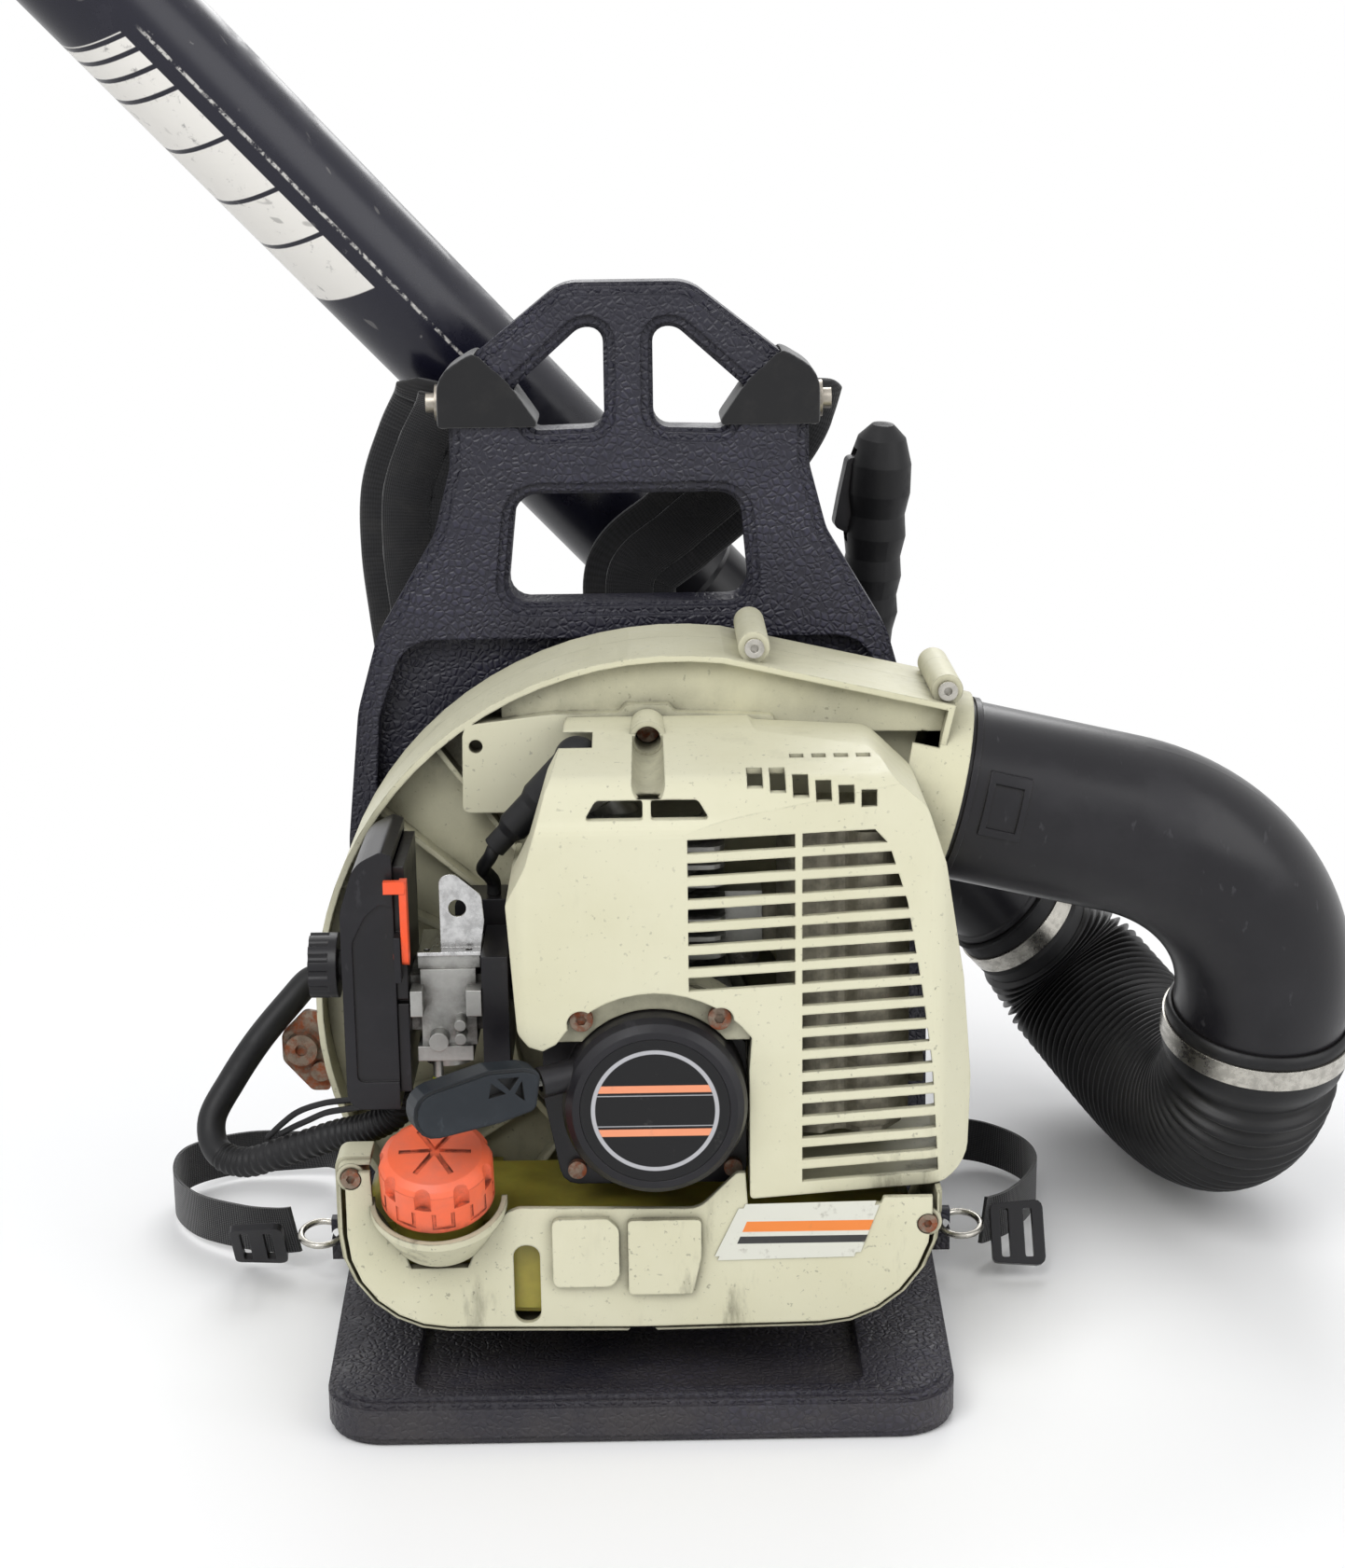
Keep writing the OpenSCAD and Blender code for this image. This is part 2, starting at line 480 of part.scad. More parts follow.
module cylinder_fins() for (i = [0:8]) translate([0, 0, 200 + i * 8.4]) linear_extrude(2.2)
    polygon(soft([[-25, -79, 8], [41, -79, 8], [41, -20, 8], [-25, -20, 8]], 4));
plug_p = [-5, -48, 264];
plug_d = unit([-0.55, 0, 0.84]);
module cylinder_block() {
    cyl_z(crank_x, -48, 192.05, 271, 24);
    box([-22, -72, 192.05], [38, -23, 198]);
    box([-36, -66, 194], [0, -34, 220]);
    box([10, -64, 210], [58, -34, 236]);
    cylinder_fins();
    aim(plug_p, plug_d) cylinder(h = 14, r = 10);
}
module engine_cylinder() color([0.7, 0.7, 0.7]) difference() {
    cylinder_block();
    cyl_z(crank_x, -48, 180, 262, 17);
    cyl_x(-50, 207, -40, 0, 9);
    cyl_x(-49, 223, 10, 60, 10);
    aim(plug_p, plug_d) translate([0, 0, -10]) builtin_rod(30, 5.1);
}
module builtin_rod(h, r) rotate_extrude() square([r, h]);
module spark_plug() color([0.85, 0.84, 0.8]) aim(plug_p, plug_d) rotate_extrude() polygon([[0, -8], [5, -8], [5, 14.1],
    [9, 14.1], [9, 19], [6, 20], [6, 28], [4, 29], [4, 33], [0, 33]]);
plug_tip = plug_p + 37 * plug_d;
boot_end = [-64, -45, 253];
module plug_boot() color([0.1, 0.1, 0.11]) difference() {
    union() {
        aim(plug_p, plug_d) translate([0, 0, 21]) builtin_rod(16, 9.2);
        translate(plug_tip) sphere(r = 10.4);
        aim(plug_tip, boot_end - plug_tip) rotate_extrude() polygon([[0, 2], [9, 2], [9, 26], [7.5, 30], [7.5, 44],
            [5.5, 48], [5.5, norm(boot_end - plug_tip)], [0, norm(boot_end - plug_tip)]]);
    }
    aim(plug_p, plug_d) translate([0, 0, 15]) builtin_rod(18.3, 6.1);
}
lead_a = boot_end + unit(boot_end - plug_tip) * 0.7;
lead_pts = [lead_a, lead_a + unit(boot_end - plug_tip) * 5, [-70, -38, 241], [-68, -32, 236], [-66, -27, 231], [-66, -26, 225.0]];
module ignition_lead() color([0.08, 0.08, 0.09]) bar(along(lead_pts, 14), 3.4, 8);
module ignition_coil() color([0.12, 0.12, 0.13]) {
    slab(-34, -10.05) polygon(soft([[-84, 206, 3], [-58, 206, 3], [-58, 224.6, 3], [-84, 224.6, 3]], 3));
    box([-86, -24, 200], [-56, -14, 206]);
}

muffler_line = [[68, -40, 6], [64, -70, 6], [70, -94, 10], [84, -98, 6], [92, -90, 4], [100, -98, 6], [112, -96, 10], [124, -80, 10], [124, -40, 8]];
module muffler() color([0.6, 0.58, 0.54]) difference() {
    union() {
        translate([0, 0, 134]) linear_extrude(138) polygon(soft(muffler_line, 4));
        translate([0, 0, 130]) linear_extrude(146) polygon(soft(drawn_in(muffler_line, 3), 4));
        box([58.05, -62, 212], [70, -40, 234]);
        cyl_x(-60, 150, 120, 132, 8);
    }
    translate([0, 0, 132]) linear_extrude(142) polygon(soft(drawn_in(muffler_line, 4.4), 4));
    cyl_x(-60, 150, 118, 140, 6.4);
    cyl_x(-50, 223, 50, 72, 9);
}

module intake_insulator() color([0.1, 0.1, 0.11]) difference() {
    union() {
        box([-68.95, -88, 158], [-57, -40, 214]);
        box([-58, -66, 186.4], [-36.05, -36, 220]);
    }
    cyl_x(-50, 207, -44, -30, 9);
    cyl_x(-60, 190, -72, -61, 9);
    // slanted port from the carburettor up to the cylinder
    aim([-63, -61, 192], [22, 11, 14.5]) builtin_rod(24, 7.4);
    for (z = [166, 208]) cyl_x(-83, z, -70, -50, 2.1);
}

module carburetor() color([0.72, 0.72, 0.7]) difference() {
    union() {
        box([-97, -80, 170], [-72, -42, 206]);
        box([-101.9, -76, 176], [-69, -46, 202]);
        // pump cover below and diaphragm cover behind
        box([-99, -82, 163], [-74, -44, 170]);
        cyl_z(-86.5, -62, 157, 164, 11);
        // bolt ears
        for (x = [[-101, -95.5], [-76, -69.2]]) slab(-90, -76) translate([x[0], 187]) square([x[1] - x[0], 12]);
        // needle screws and inlet spigot
        cyl_y(-79, 176, -90, -80, 2.6);
        cyl_y(-79, 182.5, -90, -80, 2.6);
        cyl_y(-89, 174, -88, -79, 4.4);
        cyl_z(-91, -72, 152, 164, 2.4);
        // top deck
        box([-98, -78, 206], [-70, -46, 211.9]);
    }
    cyl_x(-60, 190, -110, -60, 9);
    cyl_x(-84, 193, -110, -60, 2.2);
    cyl_z(-82, -54, 190, 230, 2.06);
}
module throttle_lever() color([0.7, 0.7, 0.68]) {
    cyl_z(-82, -54, 205, 222, 2);
    translate([-82, -54, 212.3]) linear_extrude(2.2) polygon(soft([[-4, -5, 3], [5, -4, 3], [12, 8, 3], [8, 14, 3], [-4, 5, 3]], 4));
    cyl_z(-73.5, -43, 214, 219, 2.2);
}
module cable_bracket() color([0.75, 0.75, 0.76]) difference() {
    union() {
        box([-98, -79, 211.95], [-88.6, -44, 213.6]);
        box([-98, -79, 211.95], [-69.5, -70, 213.6]);
        slab(-71.5, -70) polygon(soft([[-88, 212, 0], [-70, 212, 0], [-68, 226, 3], [-69, 238, 5], [-82, 249, 6], [-88, 246, 4]], 5));
    }
    cyl_y(-80, 232, -80, -60, 4);
    cyl_z(-94, -75, 205, 220, 1.6);
    cyl_z(-75, -75, 205, 220, 1.6);
}
module fuel_line() color([0.6, 0.62, 0.1]) bar([[-91, -72, 151.9], [-91, -72, 140], [-91, -70, 128], [-90, -66, 116], [-87, -60, 104], [-87, -60, 96.1]], 2.8, 10);

// ---- air cleaner ----
module air_filter_base() color([0.1, 0.1, 0.12]) difference() {
    union() {
        box([-107, -86, 150], [-102, -26, 256]);
        box([-107, -96, 205], [-104, -84, 226]);
    }
    cyl_x(-60, 190, -110, -100, 9);
    cyl_x(-84, 193, -110, -100, 2.2);
    cyl_x(-56, 201, -110, -100, 2.6);
    cyl_x(-90.5, 216, -110, -100, 1.7);
}
module air_filter_element() color([0.25, 0.25, 0.3]) difference() {
    box([-124.5, -80, 156], [-107.05, -32, 244]);
    cyl_x(-56, 201, -130, -100, 5);
}
filter_line = [[-107.1, 143, 0], [-107.1, 262, 0], [-112, 264, 3], [-124, 258, 14], [-131, 236, 24], [-131, 143, 8]];
filter_ccw = [for (i = [5:-1:0]) filter_line[i]];
module air_filter_cover() color([0.13, 0.13, 0.15]) difference() {
    union() {
        slab(-90, -24) polygon(soft(filter_ccw, 5));
        cyl_x(-56, 201, -134, -130, 9);
    }
    slab(-87, -27) polygon([[-128, 152], [-128, 236], [-122, 252], [-115, 258], [-106, 258], [-106, 152]]);
    // finger recess in the front
    slab(-91, -88.4) polygon(soft([[-126, 156, 3], [-106, 156, 0], [-106, 238, 0], [-113, 240, 4], [-120, 234, 8], [-126, 222, 6]], 4));
    cyl_x(-56, 201, -140, -120, 3.2);
}
module air_filter_knob() color([0.11, 0.11, 0.12]) difference() {
    union() {
        cyl_x(-56, 201, -149, -136, 15);
        cyl_x(-56, 201, -137, -134.3, 7);
        cyl_x(-56, 201, -136, -103, 2.5);
    }
    for (a = [0:30:330]) translate([-143, -56, 201]) rotate([a, 0, 0]) translate([-7, 0, 16.4]) rotate([0, 90, 0]) builtin_rod(10, 2.6);
}
module choke_lever() color([0.95, 0.35, 0.16]) {
    prism_x(-103.6, -100.4) polygon(soft([[-94.4, 212.3, 3.3], [-86.9, 212.3, 3.3], [-88, 232, 2],
        [-89, 252, 1.5], [-97, 252, 1.5], [-96, 234, 3]], 4));
    box([-110.5, -97, 246.5], [-101, -93, 252]);
    cyl_x(-90.5, 216, -107.5, -101, 1.65);
}

// ---- engine cover ----
function arch(a, b, r, n) = [for (i = [0:n]) let(t = a + (b - a) * i / n) [crank_x + r * cos(t), crank_z + r * sin(t), 0]];
cover_line = concat([[-56, 246, 5], [-52, 188, 6], [-47, 182, 3], [-41, 180, 2]], arch(146, 34, 52, 14),
    [[50, 168, 3], [50, 107, 2], [151, 107, 12], [152.5, 150, 30], [148, 200, 30], [138, 257, 24], [129, 284, 16],
    [108, 303, 14], [56, 306, 4], [48, 312, 8], [-29, 311, 8], [-38, 294, 12], [-47, 264, 12]]);
module cover_solid(d) intersection() {
    slab(cover_y - 5, -20.5 + (d > 0 ? 5 : 0)) polygon(soft(drawn_in(cover_line, d), 5));
    prism_x(-80, 170) polygon(soft([[cover_y + d, 60, 0], [-15, 60, 0], [-15, 308.5 - d, 0], [-40, 306.5 - d, 10],
        [-99 + d, 298 - d, 16], [cover_y + d, 281 - d, 12]], 5));
    translate([0, 0, 60]) linear_extrude(280) polygon(soft([[-62 + d, -110 + d, 4], [-50 + d, cover_y + d, 8],
        [25, cover_y + d, 90], [136 - d, -99 + d, 14], [154 - d, -76, 14], [154 - d, -10, 0], [-62 + d, -10, 0]], 5));
}
grille_mask = [[73.6, 112, 0], [136, 112, 0], [132.5, 165, 30], [127.5, 200, 30], [120.5, 241, 14], [112, 268, 8],
    [104, 277, 4], [73.6, 277, 0]];
slot_top = 275.2;
module grille_slots() {
    intersection() {
        slab(cover_y - 2, -90) polygon(soft(grille_mask, 4));
        for (i = [0:grille_right - 1]) translate([0, 0, slot_top - i * slot_pitch]) box([70, -130, -slot_h], [150, -80, 0]);
    }
    for (i = [0:grille_left - 1]) translate([0, 0, slot_top - i * slot_pitch]) box([23.5, -130, -slot_h], [70.4, -100, 0]);
}
lip_holes = [[crank_x - 32, 192], [crank_x + 29, 192]];
tower = [7, 303];
module engine_cover() color([0.87, 0.87, 0.77]) difference() {
    union() {
        difference() {
            cover_solid(0);
            difference() {
                cover_solid(cover_wall);
                // screw tower at the top and lip round the starter
                cyl_y(tower[0], tower[1], -130, -10, 8.5);
                cyl_y(tower[0], tower[1] - 2, -130, -34, 11);
                slab(-109, -106) circle_at(crank_x, crank_z, 56);
                for (p = lip_holes) cyl_y(p[0], p[1], -109, -84.05, 6);
            }
        }
        // lip under the arch, carrying the two front screws
        intersection() {
            slab(-109, -106) difference() {
                circle_at(crank_x, crank_z, 56);
                circle_at(crank_x, crank_z, starter_r + 0.8);
            }
            box([-42, -120, 181], [50.5, -100, 260]);
        }
        for (p = lip_holes) cyl_y(p[0], p[1], -109, -84.05, 6);
        cyl_y(tower[0], tower[1], -46, -20.5, 8.5);
    }
    grille_slots();
    // paired slots below the screw tower
    slab(-130, -100) polygon(soft([[-21, 283.5, 1], [4.4, 283.5, 1], [4.4, 290.5, 1], [-16, 290.5, 3]], 3));
    slab(-130, -100) polygon(soft([[8, 283.5, 1], [33.4, 283.5, 1], [28.4, 290.5, 3], [8, 290.5, 1]], 3));
    // vents on the shoulder
    for (i = [0:5]) translate([50 + i * 9.9, 0, -i * 1.7]) {
        box([0, -130, 294], [6.9, -88, 301.6]);
        if (i > 1) box([0, -77, 285], [6.2, -72.5, 320]);
    }
    // screw hole with its tool groove
    cyl_y(tower[0], tower[1], -130, -24, 6);
    translate([tower[0], -48, tower[1]]) rotate([97, 0, 0]) cylinder(h = 60, r = 7.2);
    cyl_y(tower[0], tower[1], -30, -10, 2.3);
    for (p = lip_holes) cyl_y(p[0], p[1], -120, -80, 2.3);
    for (p = lip_holes) cyl_y(p[0], p[1], -130, -109, 6.2);
    cyl_y(crank_x, crank_z, -130, -84, starter_r + 0.8);
    // open behind the starter, at the intake, at the plug and beside the outlet
    cyl_y(crank_x, crank_z, -84, -10, 64);
    box([40, -84, 100], [62, -10, 200]);
    box([-70, -76, 186], [-40, -10, 226]);
    box([-70, -62, 248], [-18, -10, 306]);
    outlet(-30, 20, 48.5);
}
module cover_screws() color([0.5, 0.36, 0.26]) {
    for (p = lip_holes) {
        cyl_y(p[0], p[1], -109.5, -75, 2);
        difference() {
            cyl_y(p[0], p[1], -112.5, -109.05, 5.2);
            translate([p[0], 0, p[1]]) slab(-113, -111) circle(r = 2.4, $fn = 6);
        }
    }
    cyl_y(tower[0], tower[1], -26, -5, 2);
    cyl_y(tower[0], tower[1], -30, -24.05, 5.2);
    for (p = guard_holes) difference() {
        union() {
            cyl_y(p[0], p[1], -112.4, -109.55, 4.4);
            cyl_y(p[0], p[1], -109.6, -91, 2.2);
        }
        translate([p[0], 0, p[1]]) slab(-113.5, -111) circle(r = 2, $fn = 6);
    }
    for (p = starter_bolts) {
        cyl_y(p[0], p[1], -97, -77, 2);
        cyl_y(p[0], p[1], -99.5, -96.05, 4.2);
    }
}

// ---- fuel tank and guard ----
module cap_frame() translate(cap_c) rotate([cap_lean, 0, 0]) children();
tank_line = [[-127, 94, 8], [-127, 52, 30], [0, 47, 300], [126, 52, 30], [126, 94, 8]];
module fuel_tank() color([0.72, 0.68, 0.3]) difference() {
    union() {
        slab(-103, -34) polygon(soft(tank_line, 6));
        slab(-106, -31) polygon(soft(drawn_in(tank_line, 3), 6));
        cap_frame() translate([0, 0, -32]) builtin_rod(38, 19.8);
        cyl_z(-87, -60, 90, 96, 6);
        // lugs against the fan case and ears behind the guard screws
        for (x = [-72, 65]) box([x - 5, -36, 62], [x + 5, -0.05, 82]);
        box([-126.4, -96.3, 80], [-122.5, -89, 117]);
        cyl_y(-128.5, 118.5, -96.3, -90, 4.5);
        box([112, -96.3, 86.5], [130.5, -88, 96.5]);
    }
    // filler neck bore
    cap_frame() translate([0, 0, -22]) builtin_rod(40, 16);
    for (p = guard_holes) cyl_y(p[0], p[1], -99, -80, 2.3);
    cyl_y(130, 93, -112, -96.45, 7.2);
}
module fuel_cap_seal() color([0.1, 0.1, 0.1]) cap_frame() difference() {
    translate([0, 0, 6.05]) builtin_rod(1.8, 19.6);
    translate([0, 0, 5]) builtin_rod(4, 14);
}
module fuel_cap() color([0.93, 0.33, 0.2]) cap_frame() difference() {
    union() {
        translate([0, 0, -11]) builtin_rod(20, cap_r);
        translate([0, 0, 8.5]) rotate_extrude() polygon([[0, 0], [cap_r, 0], [cap_r - 1.2, 3], [cap_r - 4.5, 5.2], [0, 6.5]]);
    }
    translate([0, 0, -12]) builtin_rod(20.0, 20.3);
    // finger flutes on the crown and outlined tabs on the skirt
    for (k = [0:cap_notches - 1]) rotate([0, 0, 360 / cap_notches * (k + 0.5)]) {
        translate([cap_r + 1.6, 0, 2]) builtin_rod(20, 4.2);
    }
    for (k = [0:cap_notches - 1]) rotate([0, 0, 360 / cap_notches * k]) translate([cap_r - 0.9, 0, -9]) difference() {
        box([0, -5, 0], [4, 5, 9]);
        box([-1, -3.4, 1.6], [5, 3.4, 12]);
    }
    for (a = [0, 60, 120]) rotate([0, 0, a]) box([-16, -1.2, 13], [16, 1.2, 20]);
}

guard_full = [[-136, 127, 5], [-136, 42, 50], [0, 40, 400], [137, 42, 56], [137, 127, 6]];
guard_top = [[-120.5, 140, 0], [-119, 104, 6], [-112, 88, 14], [-68, 88, 14], [-60, 101, 5], [-54, 103.5, 5], [27, 102, 12],
    [44, 119, 3], [48, 119, 0], [49, 102.6, 1], [109, 103.2, 1], [110, 106.2, 1], [150, 106.2, 0], [150, 140, 0]];
module bowl(d, y) intersection() {
    cap_frame() rotate_extrude() polygon([[0, -13], [31 - d, -13], [31 - d, -17], [21 - d, -36 + d], [0, -36 + d]]);
    box([-140, -170, 40], [-40, y, 160]);
}
module tank_guard() color([0.87, 0.87, 0.76]) difference() {
    union() {
        difference() {
            union() {
                slab(-105.5, -34) polygon(soft(guard_full, 6));
                slab(-109.5, -34.5) polygon(soft(drawn_in(guard_full, 1.6), 6));
                slab(-112.5, -35) polygon(soft(drawn_in(guard_full, 5), 6));
                // stepped panels below the starter
                slab(-115.5, -110) polygon(soft([[-39, 66, 3], [-12, 66, 5], [-9, 72, 3], [-9, 94, 5], [-14, 99, 3], [-39, 99, 3]], 3));
                slab(-115.5, -110) polygon(soft([[-5, 62, 2], [24, 62, 2], [28, 80, 3], [28, 98, 2], [-5, 98, 2]], 3));
            }
            slab(-109.6, -20) polygon(soft(drawn_in(guard_full, cover_wall), 6));
            slab(-130, -20) polygon(soft(guard_top, 4));
        }
        bowl(0, -107);
        // screw seats inside the two upper corners
        difference() {
            cyl_y(-128.5, 118.5, -110, -95, 6.6);
            cyl_y(-128.5, 118.5, -96.5, -90, 8);
        }
        cyl_y(130, 93, -110, -96.5, 6.6);
    }
    bowl(2.6, -100);
    cap_frame() translate([0, 0, -15]) builtin_rod(60, 28.2);
    cap_frame() translate([0, 0, -42]) builtin_rod(50, 20.2);
    // lowered side behind the left ear
    box([-140, -88, 104], [-110, -20, 140]);
    // sight slot for the fuel level
    slab(-120, -100) polygon(soft([[-56.8, 47.6, 5.5], [-44.8, 47.6, 5.5], [-44.8, 85.6, 5.5], [-56.8, 85.6, 5.5]], 5));
    slab(-120, -100) circle_at(1, 35, 9.5);
    for (p = guard_holes) {
        cyl_y(p[0], p[1], -130, -90, 2.3);
        cyl_y(p[0], p[1], -120, -109.5, 4.9);
    }
}
guard_holes = [[-128.5, 118.5], [130, 93]];

// ---- starter ----
module rope_line(a, b, r) aim(rope_p + rope_d * a, rope_d) builtin_rod(b - a, r);
starter_bolts = [[-27.5, 116], [43, 116]];
module starter_housing() color([0.11, 0.11, 0.12]) difference() {
    union() {
        difference() {
            slab(-96, -84.05) polygon(soft([[-34, 108, 8], [49.2, 108, 8], [49.2, 176, 3], [40, 177, 3], [28, 180, 6], [-16, 180, 6], [-42, 179, 4], [-42, 150, 8]], 3));
            for (p = lip_holes) cyl_y(p[0], p[1], -100, -80, 6.6);
            slab(-100, -92) polygon(soft([[-33, 179, 4], [-20, 179, 2], [-20, 181, 2], [-33, 181, 2]], 1));
        }
        cyl_y(crank_x, crank_z, -117, -84.05, starter_r);
        translate([crank_x, -117, crank_z]) rotate([90, 0, 0]) rotate_extrude() polygon([[0, -1], [starter_r, -1], [starter_r, 1], [starter_r - 1.6, 5], [disc_r + 3.4, 8], [0, 8]]);
        // rope guide
        difference() {
            rope_line(30, 53, 7);
            rope_line(45, 54, 4);
        }
    }
    cyl_y(crank_x, crank_z, -125.1, -123.4, disc_r + 0.2);
    // reel chamber, open towards the engine, round the centre post
    difference() {
        cyl_y(crank_x, crank_z, -115, -80, 33);
        cyl_y(crank_x, crank_z, -116, -98, 4.95);
    }
    rope_line(-2, 60, 2.4);
    for (p = starter_bolts) cyl_y(p[0], p[1], -100, -80, 2.3);
}
module starter_disc() color([0.05, 0.05, 0.06]) cyl_y(crank_x, crank_z, -124.8, -123.45, disc_r);
module starter_reel() color([0.8, 0.78, 0.7]) difference() {
    union() {
        cyl_y(crank_x, crank_z, -112.8, -111.3, 28);
        cyl_y(crank_x, crank_z, -112, -99, 15);
        cyl_y(crank_x, crank_z, -99.8, -98.3, 28);
    }
    cyl_y(crank_x, crank_z, -120, -90, 5);
}
module starter_rope() color([0.7, 0.7, 0.66]) rope_line(5.5, 63.9, 1.5);
handle_line = [[0, -7, 3], [6, -10, 3], [22, -13, 4], [56, -10.5, 9], [57, 8.5, 9], [20, 9.5, 6], [4, 8, 3]];
module starter_handle() color([0.13, 0.15, 0.17]) difference() {
    aim(rope_p + rope_d * 55, rope_d) rotate([0, 0, 180]) rotate([0, -90, 0]) handle_body();
    rope_line(50, 64, 1.7);
    rope_line(64, 78, 3.2);
}
module handle_body() translate([0, 7.5, 0]) rotate([90, 0, 0]) difference() {
    union() {
        linear_extrude(15) polygon(soft(handle_line, 4));
        translate([0, 0, 2]) linear_extrude(11) polygon(soft(drawn_in(handle_line, -1.4), 4));
    }
    // lightening pockets near the rope end
    for (z = [[-1, 3.5], [11.5, 16]]) translate([0, 0, z[0]]) linear_extrude(z[1] - z[0]) {
        polygon([[9, -8.5], [19, -10.5], [14, -3.5]]);
        polygon([[8, -6.5], [12, -1.5], [8, 3]]);
        polygon([[16, -2.5], [22, -9], [24, -2.5]]);
    }
}

// ---- air duct ----
module elbow_path(r, a, b) {
    translate([-a, 0, 0]) rotate([0, 90, 0]) builtin_rod(elbow_lead + a + eps, r);
    translate([elbow_lead, 0, -bend_r]) rotate([90, 0, 0]) rotate([0, 0, 90 - bend_angle]) rotate_extrude(angle = bend_angle)
        translate([bend_r, 0]) circle(r = r);
    translate([elbow_lead + bend_r * sin(bend_angle), 0, -bend_r + bend_r * cos(bend_angle)])
        rotate([0, 90 + bend_angle, 0]) translate([0, 0, -eps]) builtin_rod(elbow_tail + b, r);
}
module elbow_frame() translate(elbow_in) rotate([0, outlet_fall, 0]) rotate([elbow_tilt, 0, 0]) children();
module elbow_pipe() color([0.1, 0.1, 0.11]) elbow_frame() difference() {
    union() {
        elbow_path(elbow_r, 8, 0);
        translate([4, 0, 0]) rotate([0, 90, 0]) builtin_rod(3, elbow_r + 1.6);
        // raised lock tab outline
        difference() {
            intersection() {
                translate([12, 0, 0]) rotate([0, 90, 0]) builtin_rod(24, elbow_r + 1.5);
                box([13, -60, 2], [33, 0, 30]);
            }
            box([16, -60, 6], [30, 0, 26]);
        }
    }
    elbow_path(elbow_r - elbow_wall, 12, 4);
}
// end of the elbow and its heading, in the row frame
function turn_y(v, a) = [v[0] * cos(a) + v[2] * sin(a), v[1], -v[0] * sin(a) + v[2] * cos(a)];
function turn_x(v, a) = [v[0], v[1] * cos(a) - v[2] * sin(a), v[1] * sin(a) + v[2] * cos(a)];
elbow_d = turn_y(turn_x([cos(bend_angle), 0, -sin(bend_angle)], elbow_tilt), outlet_fall);
elbow_e = elbow_in + turn_y(turn_x([elbow_lead + bend_r * sin(bend_angle), 0, -bend_r + bend_r * cos(bend_angle)]
    + elbow_tail * [cos(bend_angle), 0, -sin(bend_angle)], elbow_tilt), outlet_fall);
hose_a = elbow_e;
hose_b = pipe_c - pipe_d * 16.4;
function bezier(t) = let(a = hose_a, b = hose_a + elbow_d * 95, c = hose_b - pipe_d * 92, d = hose_b, u = 1 - t)
    u * u * u * a + 3 * u * u * t * b + 3 * u * t * t * c + t * t * t * d;

module worm_clamp(r, w) {
    difference() {
        translate([0, 0, -w / 2]) builtin_rod(w, r + 1.1);
        translate([0, 0, -w / 2 - 1]) builtin_rod(w + 2, r);
    }
    difference() {
        box([r + 0.6, -9, -w / 2 - 1.5], [r + 8, 9, w / 2 + 1.5]);
        box([r, -4, -w / 2 - 3], [r + 3, 4, w / 2 + 3]);
    }
    translate([r + 4.5, 0, 0]) rotate([90, 0, 0]) translate([0, 0, -17]) builtin_rod(30, 4.4);
}
module elbow_clamp() color([0.72, 0.71, 0.68]) aim(elbow_e - elbow_d * 14, elbow_d) rotate([0, 0, 205]) worm_clamp(46.75, 11);

// ribbed hose: cuff over the elbow, ribs along the bend, bore all the way
module flexible_pipe() color([0.07, 0.07, 0.08]) {
    n = 12;
    m = 2 * rib_count + 1;
    k = 1 / cos(180 / n);
    ctr = concat([hose_a - elbow_d * 26, hose_a + elbow_d * 0.6], [for (i = [0:m - 1]) bezier(0.03 + 0.97 * i / (m - 1))]);
    hd = concat([elbow_d, elbow_d], [for (i = [0:m - 1]) unit(bezier(min(1, 0.035 + 0.97 * i / (m - 1))) - bezier(max(0, 0.025 + 0.97 * i / (m - 1))))]);
    total = len(ctr);
    rout = [for (i = [0:total - 1]) i < 2 ? 46.6 : let(t = (i - 2) / (m - 1), end = max(0, (t - 0.86) / 0.14))
        lerp(i % 2 == 1 ? rib_r : root_r, i % 2 == 1 ? 39 : 36.6, end)];
    rin = [for (i = [0:total - 1]) i < 2 ? 43.75 : let(t = (i - 2) / (m - 1), end = max(0, (t - 0.86) / 0.14)) lerp(36.5, 33.6, end)];
    u = chunk_frames(hd);
    ring = function(i, r) let(v = cross(hd[i], u[i])) [for (j = [0:n - 1]) ctr[i] + r * k * (u[i] * cos(360 * j / n) + v * sin(360 * j / n))];
    pts = concat([for (i = [0:total - 1]) each ring(i, rout[i] / k)], [for (i = [0:total - 1]) each ring(i, rin[i])]);
    o = total * n;
    polyhedron(pts, concat(
        [for (i = [0:total - 2]) for (j = [0:n - 1]) [i * n + j, (i + 1) * n + j, (i + 1) * n + (j + 1) % n]],
        [for (i = [0:total - 2]) for (j = [0:n - 1]) [i * n + j, (i + 1) * n + (j + 1) % n, i * n + (j + 1) % n]],
        [for (i = [0:total - 2]) for (j = [0:n - 1]) [o + i * n + j, o + (i + 1) * n + (j + 1) % n, o + (i + 1) * n + j]],
        [for (i = [0:total - 2]) for (j = [0:n - 1]) [o + i * n + j, o + i * n + (j + 1) % n, o + (i + 1) * n + (j + 1) % n]],
        [for (j = [0:n - 1]) [j, (j + 1) % n, o + (j + 1) % n]], [for (j = [0:n - 1]) [j, o + (j + 1) % n, o + j]],
        [for (j = [0:n - 1]) let(a = (total - 1) * n) [a + j, o + a + (j + 1) % n, a + (j + 1) % n]],
        [for (j = [0:n - 1]) let(a = (total - 1) * n) [a + j, o + a + j, o + a + (j + 1) % n]]));
}

